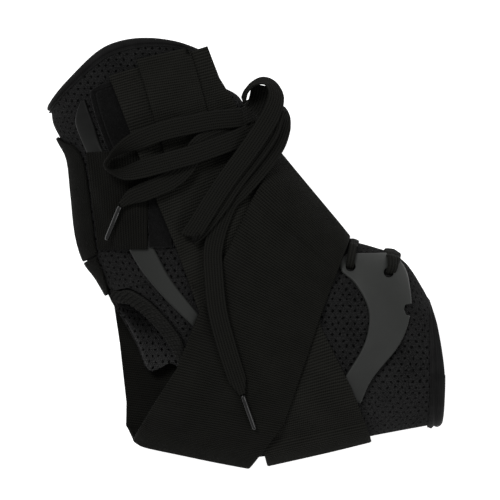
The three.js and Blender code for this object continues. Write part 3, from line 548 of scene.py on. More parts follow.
def stack_under(points):
    total = np.full(points.shape[:-1], LAYER_GAP)
    for outline, rise in LAYERS:
        past = outline_distance(outline, points) - DRAPE_MARGIN
        total = total + rise * (1 - smoothstep(past, 0, DRAPE_FALL))
    return total


def edged_shares(span, step, edge=1.2):
    """Shares across a strap, closer together at its two edges."""
    near = np.array([0, 0.12, 0.3, 0.55, 0.85]) * edge
    near = near[near < span / 2]
    inner = np.linspace(edge, span - edge, max(2, int((span - 2 * edge) / step) + 1))
    return np.unique(np.round(np.concatenate([near, inner, span - near]) / span, 6))


def laid_grid(rows, span, thickness, step=1.8, column=STRAP_COLUMN):
    """Middle surface of a strap laid through its rows, on the layers already there."""
    shares = edged_shares(span, column)[:, None]
    lines = [mix(place(row, "left"), place(row, "right"), shares) for row in rows]
    faces = [row.get("face", "upper") for row in rows]

    def height(points, face):
        if face == "floor":
            return np.full(points.shape[:-1], thickness / 2)
        return level_height(points, UPPER, stack_under(points) + thickness / 2, STIFF_SHARE)

    grid = [np.column_stack([lines[0], height(lines[0], faces[0])])]
    for k in range(len(rows) - 1):
        start, end = lines[k], lines[k + 1]
        steps = max(3, int(np.linalg.norm(end - start, axis=1).max() / step))
        if "fold" not in faces[k : k + 2]:
            for share in np.arange(1, steps + 1) / steps:
                flat = start + (end - start) * share
                grid.append(np.column_stack([flat, height(flat, faces[k + 1])]))
            continue
        to_fold = faces[k + 1] == "fold"
        fold, rest, rest_face = (end, start, faces[k]) if to_fold else (start, end, faces[k + 1])
        if rows[k + to_fold].get("loose"):
            fold = rounded_fold(fold)
        rise = height(rest, rest_face) - RIM_HEIGHT
        steps = int(steps * FOLD_STEPS)
        for share in np.arange(1, steps + 1) / steps:
            turn = (1 - share if to_fold else share) * math.pi / 2
            flat = fold + (rest - fold) * (1 - math.cos(turn))
            grid.append(np.column_stack([flat, RIM_HEIGHT + rise * math.sin(turn)]))
    return np.array(grid)


def rounded_fold(fold):
    """A fold line whose left end turns in towards the middle of the brace."""
    run = np.linalg.norm(fold - fold[0], axis=1)
    inward = nearest_rim(fold)[1].mean(0)
    inward = inward / np.linalg.norm(inward)
    return fold + inward * (FOLD_TURN * np.exp(-run / FOLD_ROUND))[:, None]


def grid_normals(grid):
    down = np.gradient(grid, axis=0)
    over = np.gradient(grid, axis=1)
    normal = np.cross(down, over)
    return normal / np.maximum(np.linalg.norm(normal, axis=2, keepdims=True), 1e-9)


def grid_lengths(grid):
    """How far each point lies along and across its grid, in millimetres."""
    down = np.linalg.norm(np.diff(grid, axis=0), axis=2)
    over = np.linalg.norm(np.diff(grid, axis=1), axis=2)
    v = np.concatenate([np.zeros((1, grid.shape[1])), np.cumsum(down, 0)])
    u = np.concatenate([np.zeros((grid.shape[0], 1)), np.cumsum(over, 1)], 1)
    return u, np.broadcast_to(v.mean(1, keepdims=True), u.shape)


def ripple(u, v, size, seed):
    """A smooth, uneven wave of about unit height, the same on each run."""
    rng = np.random.default_rng(seed)
    total = np.zeros_like(u)
    for _ in range(7):
        angle = rng.uniform(0, 2 * math.pi)
        wave = size * rng.uniform(0.6, 1.8)
        phase = rng.uniform(0, 2 * math.pi)
        total += np.sin((u * math.cos(angle) + v * math.sin(angle)) * 2 * math.pi / wave + phase)
    return total / 4


def build_mesh(name, vertices, faces, uv, material):
    data = bpy.data.meshes.new(name)
    data.from_pydata((np.asarray(vertices) * MM).tolist(), [], faces)
    layer = data.uv_layers.new(name="UVMap")
    index = np.empty(len(data.loops), int)
    data.loops.foreach_get("vertex_index", index)
    layer.data.foreach_set("uv", np.asarray(uv, float)[index].ravel())
    data.polygons.foreach_set("use_smooth", np.ones(len(data.polygons), bool))
    data.materials.append(material)
    data.update()
    return add_object(name, data)


def shell_mesh(name, outer, inner, uv, material):
    """A closed mesh between two grids that face each other."""
    rows, columns = outer.shape[:2]
    count = rows * columns
    vertices = np.concatenate([outer.reshape(-1, 3), inner.reshape(-1, 3)])
    faces = []
    for i in range(rows - 1):
        for j in range(columns - 1):
            a = i * columns + j
            b, c, d = a + 1, a + columns + 1, a + columns
            faces.append((a, d, c, b))
            faces.append((a + count, b + count, c + count, d + count))
    row_starts = [i * columns for i in range(rows)]
    last_row = row_starts[-1]
    border = list(range(columns)) + [s + columns - 1 for s in row_starts[1:]]
    border += list(range(last_row + columns - 2, last_row - 1, -1)) + row_starts[-2:0:-1]
    for a, b in zip(border, border[1:] + border[:1]):
        faces.append((a, b, b + count, a + count))
    f = np.array(faces)
    volume = (vertices[f[:, 0]] * np.cross(vertices[f[:, 1]], vertices[f[:, 2]])).sum()
    volume += (vertices[f[:, 0]] * np.cross(vertices[f[:, 2]], vertices[f[:, 3]])).sum()
    if volume < 0:
        faces = [face[::-1] for face in faces]
    return build_mesh(name, vertices, faces, np.concatenate([uv.reshape(-1, 2)] * 2), material)


def sheet_mesh(name, grid, thickness, material, edge=0.8):
    """A cloth strap round a middle surface, its edges rounded off."""
    u, v = grid_lengths(grid)
    to_edge = np.minimum(np.minimum(u, u[:, -1:] - u), np.minimum(v, v[-1:] - v))
    offset = grid_normals(grid) * (thickness / 2 * rounded(to_edge, edge, 0.3))[..., None]
    return shell_mesh(name, grid + offset, grid - offset, np.stack([u, v], -1), material)


# The frame centres the brace over its base: this is how far every piece moves with it
def frame_shift():
    low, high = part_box("heel_strap")
    first = place(HEEL_STRAP[-1], "left")[0]
    last = place(HEEL_STRAP[-1], "right")[1]
    return Vector((low[0] / MM - first, high[1] / MM - last, 0)) * MM


SHIFT = frame_shift()


def finish_piece(piece, node, slot, shift=SHIFT):
    piece.name = node + "_" + slot
    piece.location = shift
    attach(piece, "root")
    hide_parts(node)


# Materials: every pattern is worked out from a UV map in millimetres
class Field:
    """A value that a material's nodes work out, used like a number."""

    def __init__(self, graph, socket):
        self.graph = graph
        self.socket = socket

    def __add__(self, other):
        return self.graph.math("ADD", self, other)

    def __sub__(self, other):
        return self.graph.math("SUBTRACT", self, other)

    def __mul__(self, other):
        return self.graph.math("MULTIPLY", self, other)

    def __pow__(self, other):
        return self.graph.math("POWER", self, other)


class Graph:
    """A material's nodes."""

    def __init__(self, name, roughness, specular, sheen=0.0):
        self.material = bpy.data.materials.new(name)
        self.material.use_nodes = True
        self.tree = self.material.node_tree
        self.shader = self.tree.nodes["Principled BSDF"]
        looks = {"Roughness": roughness, "Specular IOR Level": specular, "Sheen Weight": sheen}
        for key, value in looks.items():
            self.shader.inputs[key].default_value = value
        self.shader.inputs["Sheen Roughness"].default_value = 0.6
        self.uv = self.add("UVMap", uv_map="UVMap").outputs[0]
        parts = self.add("SeparateXYZ")
        self.link(self.uv, parts.inputs[0])
        self.u, self.v = (Field(self, output) for output in parts.outputs[:2])

    def add(self, kind, **values):
        node = self.tree.nodes.new("ShaderNode" + kind)
        for key, value in values.items():
            setattr(node, key, value)
        return node

    def link(self, output, socket):
        self.tree.links.new(output, socket)

    def plug(self, value, socket):
        if isinstance(value, Field):
            self.link(value.socket, socket)
        else:
            socket.default_value = value

    def math(self, operation, *values):
        node = self.add("Math", operation=operation)
        for value, socket in zip(values, node.inputs):
            self.plug(value, socket)
        return Field(self, node.outputs[0])

    def wave(self, along, pitch, phase=0.0):
        """A sine between 0 and 1 that repeats every pitch."""
        return self.math("SINE", along * (2 * math.pi / pitch) + phase) * 0.5 + 0.5

    def noise(self, size, detail=2.0):
        node = self.add("TexNoise")
        self.link(self.uv, node.inputs["Vector"])
        node.inputs["Scale"].default_value = 1 / size
        node.inputs["Detail"].default_value = detail
        return Field(self, node.outputs["Fac"])

    def rise(self, value, low, high):
        """From 0 at low to 1 at high, with soft ends."""
        node = self.add("MapRange", interpolation_type="SMOOTHSTEP")
        self.plug(value, node.inputs["Value"])
        node.inputs["From Min"].default_value = low
        node.inputs["From Max"].default_value = high
        return Field(self, node.outputs[0])

    def colour(self, share, dark, light, low=0.0, high=1.0):
        ramp = self.add("ValToRGB")
        ends = ramp.color_ramp.elements
        ends[0].position, ends[1].position = low, high
        ends[0].color, ends[1].color = (*dark, 1), (*light, 1)
        self.plug(share, ramp.inputs[0])
        self.link(ramp.outputs[0], self.shader.inputs["Base Color"])

    def roughness(self, share, low, high):
        self.plug(share * (high - low) + low, self.shader.inputs["Roughness"])

    def bump(self, height, depth):
        node = self.add("Bump")
        node.inputs["Distance"].default_value = depth * MM
        self.plug(height, node.inputs["Height"])
        self.link(node.outputs[0], self.shader.inputs["Normal"])


def webbing_material(name, pitch, dark, light):
    """Ribs across the strap, each made of small slanted strands, painted lighter on their crests and darker
    in their grooves as painted shade.
    """
    g = Graph(name, 0.95, 0.03)
    rib = g.wave(g.v, pitch, -math.pi / 2)
    strand = g.wave(g.u + g.v * (STRAND_SLANT * math.pi / pitch), STRAND_PITCH)
    height = strand * 0.35 + rib * 0.65 + g.noise(0.45, 3) * 0.8
    fleck = g.noise(0.3, 1) ** 5
    # Painted shade: the colour follows the weave's height, lighter on crests and darker in grooves, with
    # random flecks and tone
    g.colour(fleck * 1.8 + g.noise(12) * 0.25 + height * 0.6, dark, light, 0.3, 1.0)
    g.bump(height, 0.22)
    return g.material


def mesh_material(name, dark, light, pitch, hole, painted_glint=0.0):
    """A knitted mesh with small staggered holes, with a painted highlight of bright flecks in the fold near
    the toe.
    """
    g = Graph(name, 0.95, 0.04)
    row = pitch * MESH_ROW
    across = g.u + g.noise(5, 1) * MESH_DRIFT - MESH_DRIFT / 2
    along = g.v + g.noise(4, 1) * MESH_DRIFT - MESH_DRIFT / 2
    nearest = []
    for offset in (0.0, 0.5):
        du = g.math("FRACT", across * (1 / pitch) + offset) * pitch - pitch / 2
        dv = g.math("FRACT", along * (1 / row) + offset) * row - row / 2
        nearest.append(g.math("SQRT", du * du + dv * dv))
    solid = g.rise(g.math("MINIMUM", *nearest), hole * 0.6, hole * 1.4)
    knit = g.wave(g.u + g.v, 1.25) * g.wave(g.v, 0.9)
    fine = knit * 0.6 + g.noise(0.5, 4) * 1.1
    # Painted highlight: the flecks are made brighter in a round patch near the toe, where light catches the
    # mesh; elsewhere they are random tone
    du, dv = g.u - PAINTED_GLINT_PLACE[0], g.v - PAINTED_GLINT_PLACE[1]
    near = g.math("EXPONENT", (du * du + dv * dv) * (-1 / PAINTED_GLINT_REACH**2))
    fleck = g.noise(0.8, 1) ** 5 * (near * painted_glint + 3.2)
    shade = (fleck + g.noise(16) * 0.45 + fine * 0.5) * (solid * 0.68 + 0.32)
    g.colour(shade, dark, light, 0.2, 1.0)
    g.bump(solid * 1.6 + fine, 0.45)
    return g.material


def knit_material(name, dark, light):
    """A coarse knitted band: short columns of stitches that lean either way."""
    g = Graph(name, 0.95, 0.03)
    column = g.wave(g.u, 1.5)
    stitch = g.wave(g.v + (column - 0.5) * 0.9, 1.2)
    height = stitch * 0.5 + column * 0.25 + g.noise(0.5, 4) * 0.7
    g.colour(g.noise(8) * 0.25 + height * 0.6, dark, light, 0.2, 0.85)
    g.bump(height, 0.3)
    return g.material


def satin_material(name, dark, light):
    """A smooth tape with fine cross ribs."""
    g = Graph(name, 0.75, 0.06)
    height = g.noise(0.6, 3) * 0.6 + g.wave(g.v, 0.8) * 0.4
    g.colour(g.noise(6) * 0.5 + height * 0.5, dark, light, 0.2, 0.8)
    g.bump(height, 0.08)
    return g.material


def fuzz_material(name, dark, light):
    """Short pile, with tufts that catch the light here and there."""
    g = Graph(name, 1.0, 0.02, 0.05)
    height = g.noise(2.4, 2) * 0.5 + g.noise(0.7, 4)
    g.colour(height, dark, light, 0.5, 1.0)
    g.bump(height, 0.5)
    return g.material


def plastic_with_painted_shade(name, top, low, run, specular):
    """Moulded plastic with painted shade: its colour changes slowly from its top to its low end, as light
    and shade fall on it.
    """
    g = Graph(name, 0.55, specular)
    broad = g.noise(9, 3)
    # Painted shade: the colour ramps along v from the top colour to the low one over run millimetres, with
    # random broad tone on top
    g.colour((broad - 0.5) * 0.5 + g.v * (1 / run), top, low, 0.05, 0.95)
    g.roughness(broad, 0.5, 0.65)
    g.bump(g.noise(0.35, 2), 0.02)
    return g.material


def lace_material(name, dark, light):
    """A flat braid: seven ribs along the lace, each of short slanted strands, painted lighter on the rib
    crests and darker in the grooves as painted shade.
    """
    g = Graph(name, 0.92, 0.05)
    rib = g.wave(g.u, LACE_WIDTH / LACE_RIBS, math.pi / 2)
    side = g.wave(g.u, 2 * LACE_WIDTH / LACE_RIBS)
    strand = g.wave(g.v + side * 1.4 - 0.7, 1.05)
    height = strand * 0.4 + rib * 0.5
    # Painted shade: the colour follows the height of ribs and strands, darker in the grooves, with random
    # tone
    g.colour(g.noise(0.4, 3) * 0.6 + height * 0.65, dark, light, 0.2, 0.95)
    g.bump(height, 0.25)
    return g.material


def gloss_material(name, colour):
    g = Graph(name, 0.2, 0.4)
    g.colour(g.noise(3), colour, tuple(c * 1.4 for c in colour))
    g.roughness(g.noise(2), 0.1, 0.2)
    g.bump(g.noise(1.5), 0.01)
    return g.material


def grey(value, warm=0.0):
    """A grey of an sRGB level from 0 to 255, with a little less blue where it is warm."""
    linear = (value / 255 / 12.92) if value < 10.3 else ((value / 255 + 0.055) / 1.055) ** 2.4
    return (linear, linear, linear * (1 - warm))


def tinted(value):
    """A grey with a trace of green."""
    level = grey(value)[0]
    return (level, level * 1.06, level * 0.99)


WARM = 0.13
WEBBING_HEEL = webbing_material("webbing_heel", 1.15, grey(2, WARM), grey(25, WARM))
WEBBING_ARCH = webbing_material("webbing_arch", 1.3, grey(2, WARM), grey(30, WARM))
WEBBING_BAND = webbing_material("webbing_band", 1.25, grey(2, WARM), grey(20, WARM))
WEBBING_TAB = webbing_material("webbing_tab", 1.2, grey(3, WARM), grey(28, WARM))
# The outer mesh gets the painted highlight near the toe, at strength 16 (the last argument)
MESH = mesh_material("mesh", grey(1), grey(33), 3.4, 0.52, 16.0)
# Painted light: the lining's colour is made much lighter than the outer mesh, to stand in for light on it
# where it lies in shade under the elastic
LINING_PAINTED_LIGHT = mesh_material("lining", grey(6), grey(62), 3.6, 0.52)
KNIT = knit_material("knit", grey(2, WARM), grey(19, WARM))
SATIN = satin_material("binding", grey(4), grey(25))
ELASTIC = knit_material("elastic", grey(3), grey(34, WARM / 2))
FUZZ = fuzz_material("fastening_pad", grey(1), grey(10))
# Painted shade: the instep plates are lighter at their top and darker towards their low end; the stays are
# painted much darker at their top, where they lie in shade, and lighter lower down
SHADED_PLATE_PLASTIC = plastic_with_painted_shade("plate_plastic_painted_shade", tinted(38), tinted(28), 100, 0.2)
SHADED_STAY_PLASTIC = plastic_with_painted_shade("stay_plastic_painted_shade", tinted(5), tinted(33), 60, 0.13)
LACE = lace_material("lace", grey(3, WARM), grey(26, WARM))
GLOSS = gloss_material("aglet_plastic", grey(5))


# The two free laces with their aglets
def curve_point(points, t):
    """A point of a centripetal Catmull-Rom curve, with t from 0 to 1."""
    last = len(points) - 1
    i = min(int(t * last), last - 1)
    p1, p2 = points[i], points[i + 1]
    p0 = points[i - 1] if i > 0 else 2 * points[0] - points[1]
    p3 = points[i + 2] if i + 2 <= last else 2 * points[last] - points[last - 1]
    d0, d1, d2 = (np.sqrt(np.linalg.norm(b - a)) for a, b in ((p0, p1), (p1, p2), (p2, p3)))
    v1 = ((p1 - p0) / d0 - (p2 - p0) / (d0 + d1) + (p2 - p1) / d1) * d1
    v2 = ((p2 - p1) / d1 - (p3 - p1) / (d1 + d2) + (p3 - p2) / d2) * d1
    return hermite(p1, p2, v1, v2, t * last - i)


def lace_section(kept):
    """Half width shares and half height shares round a flat lace with ribs along it."""
    across = np.linspace(-1, 1, 43)
    body = np.sqrt(np.maximum(1 - np.abs(across) ** 3.5, 0))
    ribs = 0.8 + 0.2 * np.abs(np.cos(across * math.pi * LACE_RIBS / 2))
    top = np.stack([across, body * (1 + (ribs - 1) * smoothstep(kept, 0.3, 0.9))], 1)
    bottom = top[1:-1][::-1] * (1, -1)
    return np.concatenate([top, bottom])


def free_lace(name, rows, material):
    points = np.array([(row["x"], row["y"], row["z"]) for row in rows], float)
    knots = np.arange(len(rows))
    rolls = [row.get("roll", 0) for row in rows]
    widths = [row.get("width", 1) for row in rows]
    width = np.zeros(3)
    rings, centres, uv = [], [], []
    run = 0.0
    for t in np.linspace(0, 1, 14 * (len(rows) - 1) + 1):
        centre = curve_point(points, t)
        ahead = curve_point(points, min(t + 1e-3, 1))
        behind = curve_point(points, max(t - 1e-3, 0))
        along = (ahead - behind) / np.linalg.norm(ahead - behind)
        roll = math.radians(np.interp(t * knots[-1], knots, rolls))
        kept = np.interp(t * knots[-1], knots, widths)
        width = width - along * (width @ along)
        if abs(along[2]) < 0.7 or not centres:
            level = np.cross(along, (0, 0, 1))
            level /= np.linalg.norm(level)
            above = np.cross(level, along)
            wanted = level * math.cos(roll) + above * math.sin(roll)
            width = wanted * (-1 if width @ wanted < 0 else 1)
        width = width / np.linalg.norm(width)
        over = np.cross(along, width)
        thick = mix(AGLET_RADIUS * 0.8, LACE_THICKNESS / 2, (kept - LACE_TIP) / (1 - LACE_TIP))
        section = lace_section(kept)
        half = LACE_WIDTH / 2 * kept
        rings.append(centre + section[:, :1] * half * width + section[:, 1:] * thick * over)
        if centres:
            run += np.linalg.norm(centre - centres[-1])
        centres.append(centre)
        uv.append([(w * half, run) for w in section[:, 0]])
    piece = tube_mesh(name, np.array(rings), np.array(uv), material)
    return piece, [tuple(c * MM) for c in centres], run * MM


def tube_mesh(name, rings, uv, material):
    count, sides = rings.shape[:2]
    faces = []
    for i in range(count - 1):
        for j in range(sides):
            a, b = i * sides + j, i * sides + (j + 1) % sides
            faces.append((a, b, b + sides, a + sides))
    faces.append(tuple(range(sides))[::-1])
    faces.append(tuple(range((count - 1) * sides, count * sides)))
    first, second = rings[0], rings[1]
    turn = np.cross(first[1] - first[0], second[0] - first[0]) @ (first[0] - first.mean(0))
    if turn < 0:
        faces = [face[::-1] for face in faces]
    return build_mesh(name, rings.reshape(-1, 3), faces, uv.reshape(-1, 2), material)


# Along an aglet in millimetres, and its radius there as a share of the full one
AGLET_PROFILE = [
    (-0.2, 0.80), (0.0, 0.93), (0.35, 1.0), (2.2, 1.0), (2.5, 0.94), (2.9, 0.94), (3.2, 1.0),
    (8.0, 0.97), (13.2, 0.94), (15.6, 0.90), (16.4, 0.80), (16.85, 0.62), (17.0, 0.30),
]
AGLET_CRIMP = 0.10


def aglet(name, seat, material):
    start = np.array([seat["x"], seat["y"], seat["z"]])
    head = np.array([seat["headX"], seat["headY"], seat["headZ"]])
    head = head / np.linalg.norm(head)
    side = np.cross(head, (0, 0, 1))
    side /= np.linalg.norm(side)
    up = np.cross(side, head)
    turns = np.linspace(0, 2 * math.pi, 24, endpoint=False)
    from_top = (turns - math.pi / 2 + math.pi) % (2 * math.pi) - math.pi
    crimp = (1 - AGLET_CRIMP * bell(from_top / 0.25))[:, None]
    circle = np.cos(turns)[:, None] * side + np.sin(turns)[:, None] * up
    rings = [start + head * reach + AGLET_RADIUS * size * crimp * circle for reach, size in AGLET_PROFILE]
    uv = [[(t * AGLET_RADIUS, reach) for t in turns] for reach, _ in AGLET_PROFILE]
    return tube_mesh(name, np.array(rings), np.array(uv), material)


def add_lace(name, rows, tip, seat):
    lace, path, length = free_lace(name, rows, LACE)
    end = aglet(tip, seat, GLOSS)
    for piece, node, slot in ((lace, name, "lace"), (end, tip, "aglet")):
        finish_piece(piece, node, slot, shift=(0, 0, 0))


add_lace("lace_left", LACE_LEFT, "aglet_left", AGLET_LEFT)
add_lace("lace_long", LACE_LONG, "aglet_long", AGLET_LONG)


# The padded panels
def smooth_rows(rows, keys, per):
    """Rows filled in along smooth curves between those of a table."""
    steps = per * (len(rows) - 1)
    return {key: catmull([np.atleast_1d(row[key]) for row in rows], steps) for key in keys}


def slit_edge(points, face):
    """Where a panel starts beside the slit down the front, which closes along the top of the foot."""
    inset = face["round"] * (1 - math.sqrt(1 - (SLIT_HALF_WIDTH / face["bulge"]) ** 2))
    closing = smoothstep(points[:, 0], FOOT_START - 8, FOOT_START + 4)
    kept = inset * (1 - (0.85 if face is UPPER else 0.0) * closing)
    return points + nearest_rim(points)[1] * kept[:, None]


def rib_places(front, back, arch, columns):
    """Places along each rib: rows of flat points, closer together at both ends."""
    chord = back - front
    rise = np.stack([chord[:, 1], -chord[:, 0]], 1)
    rise = rise / np.linalg.norm(rise, axis=1, keepdims=True) * arch * LENGTH
    share = ((1 - np.cos(np.linspace(0, math.pi, columns))) / 2)[None, :, None]
    bow = 4 * share * (1 - share) * (1 - BACK_DROP * smoothstep(share, 0.5, 0.85))
    return front[:, None] + chord[:, None] * share + rise[:, None] * bow


ANGLES = np.linspace(0, math.pi / 2, 200)


def unrolled(points, face):
    """Flat places with the steep rounding laid out to its true length, for the patterns."""
    distance, inward = nearest_rim(points)
    angle = np.arccos(1 - np.clip(distance / face["round"], 0, 1))
    speed = np.hypot(face["round"] * np.sin(ANGLES), face["bulge"] * np.cos(ANGLES))
    arc = np.concatenate([[0], np.cumsum((speed[1:] + speed[:-1]) / 2 * np.diff(ANGLES))])
    spare = (arc[-1] - np.interp(angle, ANGLES, arc)) - face["round"] * np.cos(angle)
    return points - inward * spare[..., None]


def panel_flats(face, key, per=7, columns=90):
    filled = smooth_rows(RIBS, ("front", key, "arch"), per)
    front = slit_edge(flat_of(filled["front"]), face)
    return rib_places(front, flat_of(filled[key]), filled["arch"], columns)


def wrinkled(points, centre, direction, pitch, depth, spread):
    """A group of soft folds round a place, running across a direction."""
    offset = points - np.array(centre)
    turn = math.radians(direction)
    along = offset @ np.array([math.cos(turn), math.sin(turn)])
    across = offset @ np.array([-math.sin(turn), math.cos(turn)])
    bend = along + 0.02 * across**2
    fade = np.exp(-(along**2) / (2 * spread[0] ** 2) - across**2 / (2 * spread[1] ** 2))
    return depth * fade * np.sin(bend * 2 * math.pi / pitch)


def panel(name, face, key, seed):
    flats = panel_flats(face, key)
    rows, columns = flats.shape[:2]
    lengths = np.linalg.norm(np.diff(flats, axis=1), axis=2).cumsum(1)
    from_front = np.concatenate([np.zeros((rows, 1)), lengths], 1)
    edge = np.minimum(from_front, from_front[:, -1:] - from_front)
    to_rim = np.minimum(np.arange(rows), np.arange(rows)[::-1])
    calm = smoothstep(edge, 8, 22) * smoothstep(to_rim, 0, 8)[:, None]
    wall = PANEL_WALL * rounded(edge, PANEL_EDGE, 0.25)
    give = SOFT_GIVE * ripple(flats[..., 0], flats[..., 1], SOFT_SIZE, seed)
    give = give + simulated_give(face, key, (rows, columns), seed)
    if face is UPPER:
        give = give + sum(wrinkled(flats, **fold) for fold in PANEL_FOLDS)
    give = give * calm
    lift = np.array([0, 0, face["up"] * SEAM_GAP / 2])
    middle = (wall - PANEL_WALL) / 2
    outer = form_points(flats, face, middle + give) + lift
    inner = form_points(flats, face, middle + give * 0.6 - wall) + lift
    piece = shell_mesh(name, outer, inner, unrolled(flats, face), MESH)
    piece.data.materials.append(LINING_PAINTED_LIGHT)
    for polygon in piece.data.polygons:
        polygon.material_index = int(min(polygon.vertices) >= rows * columns)
    finish_piece(piece, name, "mesh")


def settled(grid, held):
    """Cloth with a little spare length, left to settle between the places where it is held."""
    rows, columns = grid.shape[:2]
    faces = [
        (i * columns + j, i * columns + j + 1, (i + 1) * columns + j + 1, (i + 1) * columns + j)
        for i in range(rows - 1)
        for j in range(columns - 1)
    ]
    data = bpy.data.meshes.new("settling")
    data.from_pydata((grid.reshape(-1, 3) * SIM_SCALE).tolist(), [], faces)
    cloth = add_object("settling", data)
    group = cloth.vertex_groups.new(name="held")
    for index, weight in enumerate(held.ravel()):
        group.add([index], float(weight), "REPLACE")
    modifier = cloth.modifiers.new("cloth", "CLOTH")
    modifier.point_cache.frame_start, modifier.point_cache.frame_end = 1, SIM_FRAMES
    settings = modifier.settings
    settings.quality = 6
    settings.mass = 0.2
    settings.tension_stiffness = settings.compression_stiffness = 12
    settings.bending_stiffness = 0.6
    settings.shrink_min = -SPARE_LENGTH
    settings.vertex_group_mass = "held"
    settings.effector_weights.gravity = 0
    settings.use_pressure = True
    settings.uniform_pressure_force = 0.4
    for step in range(1, SIM_FRAMES + 1):
        bpy.context.scene.frame_set(step)
    graph = bpy.context.evaluated_depsgraph_get()
    found = cloth.evaluated_get(graph).data
    points = np.empty(len(found.vertices) * 3)
    found.vertices.foreach_get("co", points)
    bpy.data.objects.remove(cloth, do_unlink=True)
    bpy.data.meshes.remove(data)
    bpy.context.scene.frame_set(1)
    return points.reshape(grid.shape) / SIM_SCALE


def simulated_give(face, key, shape, seed):
    """How far a settled panel stands out of its form, on a grid of the given shape."""
    per, columns = 4, 44
    flats = panel_flats(face, key, per, columns)
    start = form_points(flats, face, 0.15 * ripple(flats[..., 0], flats[..., 1], 12, seed))
    rows = len(flats)
    held = np.zeros((rows, columns))
    held[[0, -1]] = 1
    held[:, [0, -1]] = 1
    if face is UPPER:
        for strap_rows in (HEEL_STRAP, ARCH_STRAP, INSTEP, CUFF_STRAP, LOOP_PAD):
            away = outline_distance(outline_of(strap_rows), flats)
            held = np.maximum(held, 0.9 * (1 - smoothstep(away, 0, 3)))
    end = settled(start, held)
    normal = grid_normals(start)
    normal = normal * np.sign((normal[..., 2] * face["up"]).mean())
    out = ((end - start) * normal).sum(-1)
    out = np.clip(out - np.median(out[held < 0.5]), -GIVE_LIMIT, GIVE_LIMIT) * (1 - held)
    r = np.linspace(0, rows - 1, shape[0])
    c = np.linspace(0, columns - 1, shape[1])
    along = np.array([np.interp(r, np.arange(rows), out[:, j]) for j in range(columns)])
    return np.array([np.interp(c, np.arange(columns), along[:, i]) for i in range(shape[0])])


PANEL_FOLDS = table(
    "centre direction pitch depth spread",
    ((77, -55), 115, 15, 1.3, (16, 20)),
    ((60, -80), 80, 13, 0.5, (10, 20)),
    ((-30, 66), 70, 15, 0.6, (12, 20)),
)
panel("side_panel_near", UPPER, "upper", 3)
panel("side_panel_far", LOWER, "lower", 5)


def binding(name, seam, rim, seed, ridges):
    """A tape folded round an open rim, from its seam to its rounded outer edge."""
    rings = []
    shares = np.concatenate([np.linspace(0, 0.7, 12)[:-1], 1 - 0.3 * (1 - np.linspace(0, 1, 9)) ** 2])
    for share in shares:
        half = BINDING_THICKNESS / 2 * rounded(1 - share, 0.3, 0.04)
        ridge = sum(r["rise"] * bell((share - r["at"]) / r["width"]) for r in ridges)
        pucker = 0.12 * np.sin(np.arange(BINDING_COLUMNS) * 1.9 + seed) * bell((share - 0.1) / 0.15)
        middle = -PANEL_WALL / 2
        halves = []
        for face, key in ((UPPER, "upper"), (LOWER, "lower")):
            seat = mix(BINDING_SEAT, 1, share)
            front, back = (mix(place(seam, k), place(rim, k), seat)[None] for k in ("front", key))
            arch = np.array([[mix(seam["arch"], rim["arch"], share)]])
            flats = rib_places(slit_edge(front, face), back, arch, BINDING_COLUMNS)[0]
            start = smoothstep(np.linalg.norm(flats - flats[0], axis=1), 0, 14)
            outer = form_points(flats, face, middle + mix(half * 0.55, half + ridge + pucker, start))
            inner = form_points(flats, face, middle - half * mix(0.55, 1, start))
            halves.append(np.concatenate([outer, inner, unrolled(flats, face)], 1))
        rings.append(np.concatenate([halves[0], halves[1][::-1][1:]]))
    rings = np.array(rings)
    piece = shell_mesh(name, rings[..., :3], rings[..., 3:6], rings[..., 7:5:-1], SATIN)
    finish_piece(piece, name, "binding")


CUFF_RIDGES = table("at width rise", (0.25, 0.09, -0.7), (0.55, 0.18, 0.3))
TOE_RIDGES = table(
    "at width rise",
    (0.05, 0.06, -0.3),
    (0.22, 0.08, 0.5),
    (0.42, 0.07, -0.45),
    (0.65, 0.15, 0.25),
)
binding("cuff_binding", RIBS[0], CUFF_RIM, 1, CUFF_RIDGES)
binding("toe_binding", RIBS[-1], TOE_RIM, 2, TOE_RIDGES)


def tongue():
    edge = flat_of(smooth_rows(RIBS[:TONGUE_RIBS], ("front",), 7)["front"])
    inward = nearest_rim(edge)[1]
    limit = math.radians(TONGUE_ANGLE)
    angles = np.linspace(-limit, limit, 36)
    run = np.concatenate([[0], np.linalg.norm(np.diff(edge, axis=0), axis=1).cumsum()])
    outer, inner, uv = [], [], []
    for j, angle in enumerate(angles):
        face = LOWER if angle < 0 else UPPER
        flats = edge + inward * face["round"] * (1 - math.cos(angle))
        wall = TONGUE_THICKNESS * rounded(min(j, len(angles) - 1 - j), 4, 0.3)
        give = 0.25 * ripple(run, np.full_like(run, angle * 20), 18, 11)
        middle = give - PANEL_WALL - TONGUE_GAP - TONGUE_THICKNESS / 2
        outer.append(form_points(flats, face, middle + wall / 2))
        inner.append(form_points(flats, face, middle - wall / 2))
        uv.append(np.stack([np.full_like(run, angle * 24), run], 1))
    piece = shell_mesh("tongue", *(np.stack(part, 1) for part in (outer, inner, uv)), MESH)
    finish_piece(piece, "tongue", "mesh")


tongue()


def cross_grid(rows, per, columns):
    filled = smooth_rows(rows, ("left", "right"), per)
    share = np.linspace(0, 1, columns)[None, :, None]
    return mix(flat_of(filled["left"])[:, None], flat_of(filled["right"])[:, None], share)


